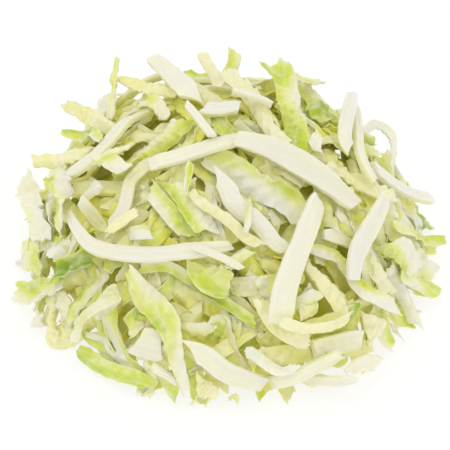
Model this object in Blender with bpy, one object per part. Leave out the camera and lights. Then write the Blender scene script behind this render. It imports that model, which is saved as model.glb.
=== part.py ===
"""A heap of shredded white cabbage on a table, at its real size, in metres with +Z up and its front towards -Y.

A low bed of many thin cuts is fused into one solid. The large cuts that lie on it are solids of their own, each
resting a hair's breadth above what is under it. The origin is the middle of the flat spot that the heap rests on.
"""

import math
import random

import bmesh
import bpy
import numpy as np
from mathutils import Vector
from mathutils.bvhtree import BVHTree

MM = 0.001

# The heap's even surface: a round top, and a hollow skirt that brings its flank down to the table.
TOP_RADIUS = 69 * MM
FLANK_SLOPE = math.radians(77)
SKIRT_RADIUS = 10 * MM
SHOULDER_HEIGHT = SKIRT_RADIUS * (1 - math.cos(FLANK_SLOPE))
TOP_CENTRE_HEIGHT = SHOULDER_HEIGHT - TOP_RADIUS * math.cos(FLANK_SLOPE)
SHOULDER_REACH = TOP_RADIUS * math.sin(FLANK_SLOPE)
FOOT_REACH = SHOULDER_REACH + SKIRT_RADIUS * math.sin(FLANK_SLOPE)
TOP_ARC = TOP_RADIUS * FLANK_SLOPE
SKIRT_ARC = SKIRT_RADIUS * FLANK_SLOPE

# The bed lies on a core this far under the even surface, and nothing but the core touches the table.
BED_DEPTH = 12 * MM
TABLE_GAP = 0.3 * MM
CORE_SIDES = 20
CORE_RINGS = 5

# The heap is seen from here when its large cuts are placed. Their points lie on an upright sheet through the aim,
# on a grid whose lines count from its left and top, and each is carried along its line of sight onto the heap.
SIGHT_RISE = math.radians(43)
SIGHT_DISTANCE = 620 * MM
SIGHT_AIM = np.array([0, 0, 14 * MM])
DOME_CENTRE = np.array([0, 0, TOP_CENTRE_HEIGHT])
SIGHT_SPAN = 100 * MM
SIGHT_STEPS = 700
SIGHT_SMOOTHINGS = 2
MOST_SIGHTED = 4 * MM
SIGHTINGS = 5
GRID_STEP = 0.345 * MM
GRID_MIDDLE = 225
CURVE_STEPS = 40
STATION_STEP = 4.2 * MM

# How the cuts are laid.
MAP_CELL = 1 * MM
MAP_REACH = TOP_ARC + SKIRT_ARC + 25 * MM
SAMPLES_BETWEEN = 4
ACROSS = (-0.5, -0.25, 0, 0.25, 0.5)
ROLL_STATIONS = 4
BEND_PASSES = 3
MOST_ROLL = math.radians(25)
SIDE_HOLD = 0.6
BED_SINK = 1.4 * MM
BED_THICKENING = 1.4
CUT_GAP = 0.45 * MM
LIFT_STEP = 0.5 * MM
LIFT_TRIES = 16
FOOT_THICKNESS = 0.8
COVER_ALONG = 25
COVER_ACROSS = 17

# What each kind of cut is like: its thickness, the tightest curve that it bends to under its own weight, and its
# colour.
KINDS = {
    "rib": {"thickness": 2.2 * MM, "bend": 45 * MM, "colour": (0.87, 0.85, 0.77)},
    "heart": {"thickness": 1.3 * MM, "bend": 26 * MM, "colour": (0.80, 0.77, 0.49)},
    "leaf": {"thickness": 0.9 * MM, "bend": 18 * MM, "colour": (0.80, 0.84, 0.58)},
    "green": {"thickness": 0.9 * MM, "bend": 18 * MM, "colour": (0.40, 0.55, 0.10)},
}
BED_COLOUR = (0.76, 0.77, 0.47)
ROUGHNESS = 0.42
TWIST = math.radians(9)
END_LIFT = 1.2 * MM
STREWN_LIFT = 1.5 * MM
END_TAPER = (0.45, 0.9)
WIDTH_SPREAD = (0.88, 1.08)

# The bed's cuts, strewn by rule in bands by their least slope in degrees.
BED_SEED = 4
BED_BANDS = ((0, 66), (62, 36))
BED_STATIONS = 5
BED_MIX = ("rib", "heart", "leaf", "leaf")
BED_LENGTH = (34 * MM, 60 * MM)
BED_WIDTH = (5 * MM, 8.5 * MM)
STREWN_TRIES = 6
STREWN_BEND = 1 / (60 * MM)
STREWN_REACH = TOP_ARC + 0.75 * SKIRT_ARC

# Large cuts on the back: kind, width in millimetres, slope of their middle and way round the heap in degrees,
# heading in degrees, length in millimetres, and bend in turns of a radian per metre.
BACK = (
    ("rib", 6, 35, 80, 20, 58, 6),
    ("leaf", 7, 56, 58, 100, 50, -5),
    ("heart", 5.5, 30, 122, 150, 52, 8),
    ("green", 7.5, 64, 104, 62, 48, -8),
    ("rib", 5, 66, 130, -22, 55, 9),
    ("leaf", 6.5, 50, 152, 75, 46, -9),
    ("heart", 5, 66, 34, 40, 48, 10),
    ("rib", 7, 52, 88, -48, 60, 5),
    ("green", 6, 42, 44, -30, 46, 9),
    ("leaf", 8, 70, 78, 5, 52, -6),
    ("heart", 4.5, 64, 160, 118, 44, 7),
)
BACK_STATIONS = 10

# Cuts placed by eye and fused into the bed: kind, width in millimetres, and points on the sight grid.
BED_PLACED = (
    ("rib", 7, (312, 352), (335, 345), (363, 338)),
    ("rib", 9.5, (130, 340), (148, 344), (166, 349)),
    ("rib", 6.3, (96, 328), (108, 345), (126, 366)),
    ("heart", 7, (62, 290), (69, 315), (72, 346)),
    ("heart", 4.5, (54, 295), (51, 320), (62, 342)),
    ("leaf", 5.5, (103, 257), (97, 275), (86, 296), (76, 320)),
    ("green", 10, (207, 325), (230, 331), (256, 342)),
    ("leaf", 7, (42, 247), (55, 240), (62, 252)),
    ("heart", 6, (368, 256), (378, 276), (389, 299)),
    ("heart", 10, (368, 303), (378, 322), (377, 346)),
    ("leaf", 7, (325, 220), (336, 238), (346, 253)),
    ("rib", 3, (152, 362), (165, 375), (179, 387)),
    ("rib", 7, (75, 178), (90, 190), (105, 200)),
    ("rib", 5, (95, 205), (90, 218), (95, 232)),
    ("heart", 7.5, (266, 318), (265, 338), (273, 358)),
    ("leaf", 5.5, (243, 265), (252, 290), (262, 315)),
    ("leaf", 5.5, (256, 275), (270, 290), (278, 311)),
    ("rib", 4, (336, 206), (348, 226), (358, 241)),
)

# Cuts placed by eye that stay solids of their own, the lowest first.
PLACED = (
    ("green", 5.5, (77, 352), (95, 363), (115, 373), (135, 378), (150, 387)),
    ("leaf", 7.5, (16, 291), (38, 291), (64, 283)),
    ("rib", 5, (268, 384), (295, 378), (315, 366), (335, 352)),
    ("rib", 5.5, (338, 364), (360, 362), (383, 363)),
    ("heart", 7.5, (203, 372), (206, 384), (207, 397)),
    ("leaf", 5, (392, 268), (403, 290), (412, 310), (418, 327)),
    ("leaf", 5.5, (402, 275), (420, 283), (437, 294)),
    ("leaf", 9, (383, 238), (403, 250), (419, 268)),
    ("green", 4.2, (394, 224), (410, 232), (428, 236), (443, 239)),
    ("green", 8, (313, 112), (326, 110), (339, 117)),
    ("rib", 5, (375, 165), (392, 180), (412, 192), (431, 197)),
    ("leaf", 4, (365, 131), (377, 123), (391, 133), (399, 152), (401, 172)),
    ("heart", 5, (330, 163), (350, 175), (372, 190), (394, 195)),
    ("rib", 4, (357, 104), (359, 130), (363, 155), (373, 180)),
    ("rib", 4.5, (353, 92), (348, 115), (345, 135), (348, 152)),
    ("leaf", 4.5, (292, 78), (306, 79), (321, 80)),
    ("leaf", 4.5, (234, 48), (234, 60), (225, 76)),
    ("heart", 4, (203, 54), (210, 68), (219, 82)),
    ("heart", 5, (121, 76), (145, 86), (176, 89)),
    ("leaf", 4.5, (117, 60), (113, 86), (111, 100), (101, 113)),
    ("heart", 5, (67, 102), (85, 113), (105, 125), (116, 133)),
    ("heart", 5, (32, 158), (50, 157), (68, 156), (90, 150)),
    ("leaf", 9, (21, 179), (31, 200), (38, 222), (43, 241)),
    ("leaf", 8, (27, 244), (32, 262), (38, 281)),
    ("green", 7.5, (49, 275), (68, 265), (92, 256)),
    ("rib", 7, (154, 57), (170, 70), (184, 86), (194, 102)),
    ("rib", 4.5, (142, 104), (127, 117), (107, 141), (92, 163), (74, 176)),
    ("leaf", 7.5, (268, 60), (284, 80), (291, 105), (297, 130), (300, 150)),
    ("heart", 6, (222, 79), (243, 85), (258, 105), (270, 128), (285, 142)),
    ("green", 7, (189, 117), (165, 137), (135, 155), (104, 168)),
    ("rib", 4.8, (150, 163), (130, 178), (125, 200), (118, 218), (105, 233)),
    ("green", 6, (148, 186), (163, 205), (178, 222), (193, 240)),
    ("leaf", 7, (171, 182), (187, 200), (200, 220), (212, 238)),
    ("leaf", 8.5, (203, 152), (235, 168), (258, 186), (288, 198), (301, 222)),
    ("rib", 5.8, (211, 170), (226, 187), (236, 206), (256, 221), (276, 243), (290, 250)),
    ("rib", 5, (152, 162), (185, 153), (215, 142), (246, 136)),
    ("rib", 8.5, (240, 138), (270, 146), (305, 165), (335, 186), (357, 204)),
    ("leaf", 4, (312, 247), (335, 258), (350, 275), (365, 291), (398, 310)),
    ("rib", 6.5, (388, 197), (373, 225), (360, 250), (353, 277)),
    ("leaf", 4, (138, 270), (165, 266), (188, 278), (212, 295), (236, 310), (258, 326)),
    ("leaf", 9.5, (195, 256), (205, 275), (228, 287)),
    ("green", 7, (130, 268), (143, 296), (160, 312), (172, 335), (177, 362), (186, 394)),
    ("rib", 7, (182, 349), (205, 357), (228, 374), (264, 387)),
    ("heart", 6, (258, 298), (270, 318), (285, 333), (308, 343)),
    ("rib", 8.5, (320, 199), (307, 232), (295, 262), (286, 290), (281, 320)),
    ("heart", 4, (283, 322), (305, 329), (328, 327), (354, 316)),
    ("rib", 4.6, (68, 213), (76, 229), (90, 244), (115, 251), (150, 253), (190, 250), (232, 246)),
)


def even_surface(u, v, height):
    """Points at a height above the even surface, and its outward normals, for places on the map.

    The map is the surface rolled flat: its radius is the way from the top down the flank and out over the table.
    """
    along = np.hypot(u, v)
    around = np.arctan2(v, u)
    lean = np.clip(FLANK_SLOPE - (along - TOP_ARC) / SKIRT_RADIUS, 0, FLANK_SLOPE)
    slope = np.where(along < TOP_ARC, along / TOP_RADIUS, lean)
    beyond = np.maximum(0, along - TOP_ARC - SKIRT_ARC)
    skirt_out = SHOULDER_REACH + SKIRT_RADIUS * (math.sin(FLANK_SLOPE) - np.sin(lean)) + beyond
    skirt_up = SHOULDER_HEIGHT - SKIRT_RADIUS * (np.cos(lean) - math.cos(FLANK_SLOPE))
    out = np.where(along < TOP_ARC, TOP_RADIUS * np.sin(slope), skirt_out)
    up = np.where(along < TOP_ARC, TOP_CENTRE_HEIGHT + TOP_RADIUS * np.cos(slope), skirt_up)
    normals = np.stack(
        [np.sin(slope) * np.cos(around), np.sin(slope) * np.sin(around), np.cos(slope)], axis=-1
    )
    feet = np.stack([out * np.cos(around), out * np.sin(around), up], axis=-1)
    return feet + normals * np.asarray(height)[..., None], normals


def unrolled(points):
    """The place on the map, u and v, and the height above the even surface, of points in space."""
    x, y, z = np.moveaxis(points, -1, 0)
    out = np.hypot(x, y)
    tilt = np.arctan2(out, z - TOP_CENTRE_HEIGHT)
    lean = np.clip(np.arctan2(FOOT_REACH - out, SKIRT_RADIUS - z), 0, FLANK_SLOPE)
    on_top = tilt <= FLANK_SLOPE
    on_skirt = ~on_top & (out < FOOT_REACH)
    along = np.where(
        on_top,
        TOP_RADIUS * tilt,
        np.where(
            on_skirt,
            TOP_ARC + SKIRT_RADIUS * (FLANK_SLOPE - lean),
            TOP_ARC + SKIRT_ARC + out - FOOT_REACH,
        ),
    )
    height = np.where(
        on_top,
        np.hypot(out, z - TOP_CENTRE_HEIGHT) - TOP_RADIUS,
        np.where(on_skirt, SKIRT_RADIUS - np.hypot(FOOT_REACH - out, SKIRT_RADIUS - z), z),
    )
    around = np.arctan2(y, x)
    return along * np.cos(around), along * np.sin(around), height


class HeapMap:
    """How high the heap stands above the even surface at each place on the map, as cuts are laid on it."""

    def __init__(self):
        self.half = int(MAP_REACH / MAP_CELL)
        side = np.arange(-self.half, self.half + 1) * MAP_CELL
        u, v = np.meshgrid(side, side, indexing="ij")
        feet, normals = even_surface(u, v, np.zeros_like(u))
        table = (TABLE_GAP - feet[..., 2]) / normals[..., 2]
        self.top = np.maximum(-BED_DEPTH, table)

    def cells(self, u, v):
        column = np.clip(np.rint(u / MAP_CELL).astype(int) + self.half, 1, 2 * self.half - 1)
        row = np.clip(np.rint(v / MAP_CELL).astype(int) + self.half, 1, 2 * self.half - 1)
        return column, row

    def height(self, u, v):
        """The highest of the cell and its neighbours."""
        column, row = self.cells(u, v)
        around = [self.top[column + i, row + j] for i in (-1, 0, 1) for j in (-1, 0, 1)]
        return np.max(around, axis=0)

    def cover(self, points):
        """Raises the map to points on the upper face of a cut."""
        u, v, height = unrolled(points)
        column, row = self.cells(u, v)
        np.maximum.at(self.top, (column, row), height)


def unit(vectors):
    return vectors / np.linalg.norm(vectors, axis=-1, keepdims=True)


def between(values, count):
    """Values at count even steps along a list of two or more."""
    return np.interp(np.linspace(0, 1, count), np.linspace(0, 1, len(values)), values)


def frames(centres, normals):
    """The sides and normals along a line of points.

    Where the line stands straight out of the heap its side is carried on from its flattest place.
    """
    tangents = unit(np.gradient(centres, axis=0))
    sides = np.cross(tangents, normals)
    flattest = int(np.argmax(np.linalg.norm(sides, axis=-1)))
    for order in (range(flattest + 1, len(centres)), range(flattest - 1, -1, -1)):
        previous = sides[flattest]
        for i in order:
            held = previous - tangents[i] * np.dot(previous, tangents[i])
            previous = sides[i] = unit(sides[i] + SIDE_HOLD * held)
    sides[flattest] = unit(sides[flattest])
    return sides, np.cross(sides, tangents)


def lay(cut, path, heap, gap):
    """Lays a cut on the heap: the centre, side and normal at each of its stations.

    A cut rolls with what is under it, clears the highest point under each of its lengths by the gap, and bends
    down between them no tighter than its kind does.
    """
    u, v, raised = path
    count = len(u)
    fine = (count - 1) * SAMPLES_BETWEEN + 1
    fine_u, fine_v = between(u, fine), between(v, fine)
    width = between(cut["widths"], fine)
    ground = np.maximum(heap.height(fine_u, fine_v), between(raised, fine))
    centres, normals = even_surface(fine_u, fine_v, ground)
    smooth_centres, _ = even_surface(fine_u, fine_v, np.maximum(between(raised, fine), 0))
    sides, _ = frames(smooth_centres, normals)
    heights = []
    for side in ACROSS:
        edge_u, edge_v, _ = unrolled(centres + sides * (side * width)[:, None])
        heights.append(heap.height(edge_u, edge_v))
    roll = np.clip(np.arctan2(heights[-1] - heights[0], width), -MOST_ROLL, MOST_ROLL)
    window = ROLL_STATIONS * SAMPLES_BETWEEN + 1
    roll = np.convolve(np.pad(roll, window // 2, mode="edge"), np.ones(window) / window, "valid")
    roll = roll + between(cut["twist"], fine)
    lean = width * np.sin(roll)
    need = np.max([height - side * lean for side, height in zip(ACROSS, heights)], axis=0)
    need = need + cut["thickness"] / 2 / np.cos(roll) + gap
    spans = [need[max(0, (i - 1) * SAMPLES_BETWEEN) : (i + 1) * SAMPLES_BETWEEN + 1] for i in range(count)]
    height = np.maximum([span.max() for span in spans], raised)
    step = np.linalg.norm(np.diff(even_surface(u, v, np.maximum(raised, 0))[0], axis=0), axis=1).mean()
    give = step**2 / (2 * KINDS[cut["kind"]]["bend"])
    for _ in range(BEND_PASSES * count):
        height[1:-1] = np.maximum(height[1:-1], (height[:-2] + height[2:]) / 2 - give)
    centres, normals = even_surface(u, v, height + between(cut["lifts"], count))
    sides, normals = frames(centres, normals)
    turn = roll[::SAMPLES_BETWEEN, None]
    rolled_sides = sides * np.cos(turn) + normals * np.sin(turn)
    rolled_normals = normals * np.cos(turn) - sides * np.sin(turn)
    return centres, rolled_sides, rolled_normals


def sections(cut, laid):
    """The corners of a cut at each station: its lower face, then its upper one, across and back."""
    centres, sides, normals = laid
    half = between(cut["widths"], len(centres))[:, None] / 2
    thick = cut["thickness"] / 2
    low_left = centres - sides * half - normals * thick
    low_right = centres + sides * half - normals * thick
    high_right = centres + sides * half + normals * thick
    high_left = centres - sides * half + normals * thick
    corners = np.stack([low_left, low_right, high_right, high_left], axis=1)
    corners[:, :2, 2] = np.maximum(corners[:, :2, 2], TABLE_GAP)
    corners[:, 2:, 2] = np.maximum(corners[:, 2:, 2], TABLE_GAP + cut["thickness"] * FOOT_THICKNESS)
    return corners


def cover_with(corners, heap):
    """Raises the map by a cut's upper face, read closely between its corners."""
    right, left = corners[:, 2], corners[:, 3]
    across = np.linspace(0, 1, COVER_ACROSS)[:, None]
    steps = np.linspace(0, 1, COVER_ALONG)
    for i in range(len(corners) - 1):
        starts = [left[i] * (1 - step) + left[i + 1] * step for step in steps]
        ends = [right[i] * (1 - step) + right[i + 1] * step for step in steps]
        heap.cover(np.concatenate([s * (1 - across) + e * across for s, e in zip(starts, ends)]))


def ribbon_faces(count):
    """The triangles of a closed ribbon of four-cornered stations."""
    faces = [(0, 1, 2), (0, 2, 3)]
    for i in range(count - 1):
        for j, k in ((0, 1), (1, 2), (2, 3), (3, 0)):
            a, b, c, d = 4 * i + j, 4 * i + k, 4 * i + 4 + k, 4 * i + 4 + j
            faces += [(a, d, c), (a, c, b)]
    last = 4 * (count - 1)
    return faces + [(last, last + 2, last + 1), (last, last + 3, last + 2)]


def material(name, colour):
    """A moist matt material of the given colour."""
    made = bpy.data.materials.new(name)
    made.use_nodes = True
    surface = made.node_tree.nodes["Principled BSDF"]
    surface.inputs["Base Color"].default_value = (*colour, 1)
    surface.inputs["Roughness"].default_value = ROUGHNESS
    surface.inputs["Metallic"].default_value = 0
    made.diffuse_color = (*colour, 1)
    return made


def placed_thing(name, mesh, look, parent):
    thing = bpy.data.objects.new(name, mesh)
    mesh.materials.append(look)
    bpy.context.scene.collection.objects.link(thing)
    thing.parent = parent
    return thing


def ribbon(name, corners, look, parent):
    """A closed solid from the corners of a cut at each station."""
    mesh = bpy.data.meshes.new(name)
    mesh.from_pydata(corners.reshape(-1, 3).tolist(), [], ribbon_faces(len(corners)))
    return placed_thing(name, mesh, look, parent)


def cut_of(kind, width, draw, lift):
    ends = [draw.uniform(*END_TAPER) for _ in range(2)]
    middle = [width * draw.uniform(*WIDTH_SPREAD) for _ in range(4)]
    return {
        "kind": kind,
        "widths": [middle[0] * ends[0], *middle, middle[-1] * ends[1]],
        "twist": [draw.uniform(-TWIST, TWIST) for _ in range(3)],
        "thickness": KINDS[kind]["thickness"],
        "lifts": [draw.uniform(0, lift), 0, 0, 0, draw.uniform(0, lift)],
    }


def mapped_path(tilt, around, heading, length, bend, stations):
    """A bent line on the map about a place on the heap's top, kept off the table beyond the skirt."""
    stretch = tilt / max(math.sin(tilt), 1e-6)
    map_length = length * math.hypot(math.cos(heading - around), stretch * math.sin(heading - around))
    steps = np.linspace(-0.5, 0.5, stations) * map_length
    along = TOP_RADIUS * tilt
    u = along * math.cos(around) + steps * math.cos(heading) - bend * steps**2 / 2 * math.sin(heading)
    v = along * math.sin(around) + steps * math.sin(heading) + bend * steps**2 / 2 * math.cos(heading)
    over = max(0, np.hypot(u, v).max() - STREWN_REACH)
    return u - over * math.cos(around), v - over * math.sin(around), np.full(stations, -BED_DEPTH)


def strewn_path(draw, heap, length, least_slope):
    """A cut's path by rule: of a few places drawn at random, the one where the heap is lowest."""
    paths = []
    for _ in range(STREWN_TRIES):
        tilt = math.acos(draw.uniform(math.cos(FLANK_SLOPE), math.cos(least_slope)))
        around, heading = draw.uniform(-math.pi, math.pi), draw.uniform(-math.pi, math.pi)
        bend = draw.uniform(-STREWN_BEND, STREWN_BEND)
        paths.append(mapped_path(tilt, around, heading, length, bend, BED_STATIONS))
    return min(paths, key=lambda path: float(np.mean(heap.height(path[0], path[1]))))


def curve_through(points, step):
    """Points at even steps along a smooth curve through guide points on the sight grid."""
    guide = np.array(points, float)
    ends = np.stack([2 * guide[0] - guide[1], 2 * guide[-1] - guide[-2]])
    held = np.concatenate([ends[:1], guide, ends[1:]])
    fine = []
    for i in range(len(guide) - 1):
        a, b, c, d = held[i : i + 4]
        for t in np.linspace(0, 1, CURVE_STEPS, endpoint=False):
            bent = (c - a) * t + (2 * a - 5 * b + 4 * c - d) * t**2 + (3 * b - a - 3 * c + d) * t**3
            fine.append(b + bent / 2)
    fine = np.array([*fine, guide[-1]])
    run = np.concatenate([[0], np.cumsum(np.linalg.norm(np.diff(fine, axis=0), axis=1))])
    count = max(4, round(run[-1] * GRID_STEP / step) + 1)
    even = np.linspace(0, run[-1], count)
    return np.stack([np.interp(even, run, fine[:, 0]), np.interp(even, run, fine[:, 1])], axis=1)


def sighted(points, wanted):
    """The path under points of the sight grid: where each line of sight comes down to a height over the heap.

    A line that never comes so low gives its lowest place, and the cut is raised to it.
    """
    toward = np.array([0, math.cos(SIGHT_RISE), -math.sin(SIGHT_RISE)])
    across = np.array([1, 0, 0])
    up = np.array([0, math.sin(SIGHT_RISE), math.cos(SIGHT_RISE)])
    eye = SIGHT_AIM - toward * SIGHT_DISTANCE
    path = []
    for column, row in points:
        spot = SIGHT_AIM + across * (column - GRID_MIDDLE) * GRID_STEP + up * (GRID_MIDDLE - row) * GRID_STEP
        ray = (spot - eye) / np.linalg.norm(spot - eye)
        reach = np.linspace(SIGHT_DISTANCE - SIGHT_SPAN, SIGHT_DISTANCE + SIGHT_SPAN, SIGHT_STEPS)
        places = eye + ray * reach[:, None]
        places = places[(DOME_CENTRE - places) @ ray >= 0]
        u, v, height = unrolled(places)
        low = np.nonzero(height <= wanted)[0]
        first = low[0] if len(low) else int(np.argmin(height))
        path.append((u[first], v[first], -BED_DEPTH if len(low) else height[first]))
    path = np.array(path)
    for _ in range(SIGHT_SMOOTHINGS):
        path[1:-1] = (path[:-2] + 2 * path[1:-1] + path[2:]) / 4
    return path.T


def lay_placed(placed, draw, heap, gap):
    """A cut placed by eye, sighted again once its height is known."""
    kind, width, *points = placed
    cut = cut_of(kind, width * MM, draw, END_LIFT)
    line = curve_through(points, STATION_STEP)
    height = 0
    for _ in range(SIGHTINGS):
        laid = lay(cut, sighted(line, height), heap, gap)
        height = (height + min(unrolled(laid[0])[2].mean(), MOST_SIGHTED)) / 2
    return cut, laid


def core(look, parent):
    """The solid that the bed lies on, with a flat underside on the table."""
    radius = TOP_RADIUS - BED_DEPTH
    foot_tilt = math.acos(-TOP_CENTRE_HEIGHT / radius)
    rings = [
        [
            (
                radius * math.sin(tilt) * math.cos(around),
                radius * math.sin(tilt) * math.sin(around),
                TOP_CENTRE_HEIGHT + radius * math.cos(tilt),
            )
            for around in np.arange(CORE_SIDES) * 2 * math.pi / CORE_SIDES
        ]
        for tilt in foot_tilt * np.arange(CORE_RINGS, 0, -1) / CORE_RINGS
    ]
    shape = bmesh.new()
    made = [[shape.verts.new(point) for point in ring] for ring in rings]
    top = shape.verts.new((0, 0, TOP_CENTRE_HEIGHT + radius))
    for ring, above in zip(made, made[1:]):
        for i in range(CORE_SIDES):
            j = (i + 1) % CORE_SIDES
            shape.faces.new((ring[i], ring[j], above[j], above[i]))
    for i in range(CORE_SIDES):
        shape.faces.new((made[-1][i], made[-1][(i + 1) % CORE_SIDES], top))
    shape.faces.new(reversed(made[0]))
    bmesh.ops.triangulate(shape, faces=shape.faces)
    bmesh.ops.recalc_face_normals(shape, faces=shape.faces)
    mesh = bpy.data.meshes.new("shred_bed")
    shape.to_mesh(mesh)
    shape.free()
    return placed_thing("shred_bed", mesh, look, parent)


def fuse(thing, others):
    """Joins the others to a solid and leaves out any scrap that touches nothing."""
    group = bpy.data.collections.new("fused")
    bpy.context.scene.collection.children.link(group)
    for other in others:
        bpy.context.scene.collection.objects.unlink(other)
        group.objects.link(other)
    joint = thing.modifiers.new("fuse", "BOOLEAN")
    joint.operation = "UNION"
    joint.operand_type = "COLLECTION"
    joint.collection = group
    joint.solver = "EXACT"
    graph = bpy.context.evaluated_depsgraph_get()
    fused = bpy.data.meshes.new_from_object(thing.evaluated_get(graph))
    thing.modifiers.clear()
    thing.data = fused
    for other in others:
        bpy.data.objects.remove(other)
    bpy.data.collections.remove(group)
    shape = bmesh.new()
    shape.from_mesh(fused)
    bmesh.ops.triangulate(shape, faces=shape.faces)
    unseen = set(shape.faces)
    bodies = []
    while unseen:
        body, reached = [], [unseen.pop()]
        while reached:
            face = reached.pop()
            body.append(face)
            for edge in face.edges:
                for other in edge.link_faces if edge.is_manifold else ():
                    if other in unseen:
                        unseen.remove(other)
                        reached.append(other)
        bodies.append(body)
    bodies.sort(key=len)
    for body in bodies[:-1]:
        bmesh.ops.delete(shape, geom=body, context="FACES")
    shape.to_mesh(fused)
    shape.free()


def tree_of(thing):
    mesh = thing.data
    return BVHTree.FromPolygons(
        [vertex.co[:] for vertex in mesh.vertices], [face.vertices[:] for face in mesh.polygons]
    )


def clear_corners(laying, heap, trees):
    """Lays a cut as a solid of its own, a little higher each time until it crosses nothing laid before it."""
    for lift in range(LIFT_TRIES):
        cut, laid = laying(CUT_GAP + lift * LIFT_STEP)
        corners = sections(cut, laid)
        tree = BVHTree.FromPolygons(corners.reshape(-1, 3).tolist(), ribbon_faces(len(corners)))
        if not any(tree.overlap(other) for other in trees):
            break
    trees.append(tree)
    cover_with(corners, heap)
    return corners


def lay_bed(heap, look, parent):
    """The core with the strewn and the placed cuts of the bed fused to it."""
    draw = random.Random(BED_SEED)
    bed = []
    for slope in [slope for slope, count in BED_BANDS for _ in range(count)]:
        cut = cut_of(draw.choice(BED_MIX), draw.uniform(*BED_WIDTH), draw, STREWN_LIFT)
        cut["thickness"] *= BED_THICKENING
        length = draw.uniform(*BED_LENGTH)
        path = strewn_path(draw, heap, length, math.radians(slope))
        corners = sections(cut, lay(cut, path, heap, -BED_SINK))
        cover_with(corners, heap)
        bed.append(ribbon("bed_cut", corners, look, parent))
    for placed in BED_PLACED:
        cut, laid = lay_placed(placed, draw, heap, -BED_SINK)
        corners = sections(cut, laid)
        cover_with(corners, heap)
        bed.append(ribbon("bed_cut", corners, look, parent))
    whole = core(look, parent)
    fuse(whole, bed)
    return whole


def main():
    for thing in list(bpy.data.objects):
        bpy.data.objects.remove(thing)
    parent = bpy.data.objects.new("shredded_cabbage", None)
    bpy.context.scene.collection.objects.link(parent)
    looks = {kind: material(f"{kind}_cut", about["colour"]) for kind, about in KINDS.items()}
    heap = HeapMap()
    bed = lay_bed(heap, material("bed_cuts", BED_COLOUR), parent)
    trees = [tree_of(bed)]
    counts = dict.fromkeys(KINDS, 0)

    def add(kind, laying):
        counts[kind] += 1
        corners = clear_corners(laying, heap, trees)
        ribbon(f"{kind}_shred_{counts[kind]:02d}", corners, looks[kind], parent)

    for number, (kind, width, tilt, around, heading, length, bend) in enumerate(BACK):
        angles = [math.radians(angle) for angle in (tilt, around, heading)]
        cut = cut_of(kind, width * MM, random.Random(number), END_LIFT)
        path = mapped_path(*angles, length * MM, bend, BACK_STATIONS)
        add(kind, lambda gap: (cut, lay(cut, path, heap, gap)))
    for number, placed in enumerate(PLACED):
        add(placed[0], lambda gap: lay_placed(placed, random.Random(number), heap, gap))


if __name__ == "__main__":
    main()
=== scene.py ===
"""A heap of shredded white cabbage on a white table: its looks, laid out as a Blender add-on.

The large shreds lie where their solids are. The others are laid under and over them in turn: each rolls with
what is under it, and bends over it no more sharply than its kind does. Every shred is a closed blade with its
own waves, cut ends and colours.
"""

import math
import random

import bpy
import numpy as np
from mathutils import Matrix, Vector
from mathutils.bvhtree import BVHTree


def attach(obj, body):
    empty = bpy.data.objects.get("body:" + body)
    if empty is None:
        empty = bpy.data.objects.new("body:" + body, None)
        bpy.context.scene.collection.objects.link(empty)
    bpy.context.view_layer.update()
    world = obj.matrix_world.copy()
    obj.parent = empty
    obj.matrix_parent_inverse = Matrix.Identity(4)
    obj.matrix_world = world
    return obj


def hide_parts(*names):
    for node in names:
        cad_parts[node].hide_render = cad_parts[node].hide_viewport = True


bl_info = {
    "name": "Shredded cabbage",
    "version": (1, 0, 0),
    "blender": (4, 5, 0),
    "location": "3D View > Sidebar > Cabbage",
    "description": "Lays a heap of shredded white cabbage, shred by shred",
    "category": "Add Mesh",
}

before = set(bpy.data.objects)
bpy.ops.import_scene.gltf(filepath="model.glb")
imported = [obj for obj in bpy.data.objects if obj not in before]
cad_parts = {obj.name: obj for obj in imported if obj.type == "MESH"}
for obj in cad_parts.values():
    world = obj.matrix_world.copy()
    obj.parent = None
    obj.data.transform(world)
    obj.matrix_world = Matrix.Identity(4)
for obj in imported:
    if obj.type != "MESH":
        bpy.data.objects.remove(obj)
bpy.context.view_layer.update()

MM = 0.001

# The heap's even surface: a round top, and a hollow skirt that brings its flank down to the table.
TOP_RADIUS = 69 * MM
FLANK_SLOPE = math.radians(77)
SKIRT_RADIUS = 10 * MM
SHOULDER_HEIGHT = SKIRT_RADIUS * (1 - math.cos(FLANK_SLOPE))
TOP_CENTRE_HEIGHT = SHOULDER_HEIGHT - TOP_RADIUS * math.cos(FLANK_SLOPE)
SHOULDER_REACH = TOP_RADIUS * math.sin(FLANK_SLOPE)
FOOT_REACH = SHOULDER_REACH + SKIRT_RADIUS * math.sin(FLANK_SLOPE)
TOP_ARC = TOP_RADIUS * FLANK_SLOPE
SKIRT_ARC = SKIRT_RADIUS * FLANK_SLOPE
BED_DEPTH = 12 * MM
TABLE_GAP = 0.2 * MM

# The heap is seen from here. Large shreds are placed by points on an upright sheet through the aim, on a grid
# whose lines count from its left and top, and each point is carried along its line of sight onto the heap.
SIGHT_RISE = math.radians(43)
SIGHT_DISTANCE = 620 * MM
SIGHT_AIM = np.array([0, 0, 14 * MM])
DOME_CENTRE = np.array([0, 0, TOP_CENTRE_HEIGHT])
SIGHT_SPAN = 100 * MM
SIGHT_STEPS = 700
SIGHTINGS = 3
MOST_SIGHTED = 4 * MM
RAY_HEIGHT = 40 * MM
GRID_STEP = 0.345 * MM
GRID_MIDDLE = 225
GRID_LINES = 450

# The map of how high the heap stands: its cells, how far it goes beyond the skirt, a cell and its neighbours,
# and how often the skin over it is widened and then evened out.
MAP_CELL = 0.8 * MM
MAP_REACH = TOP_ARC + SKIRT_ARC + 25 * MM
NEAR = [(i, j) for i in (-1, 0, 1) for j in (-1, 0, 1)]
SKIN_WIDENINGS = 3
SKIN_EVENINGS = 4

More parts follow.
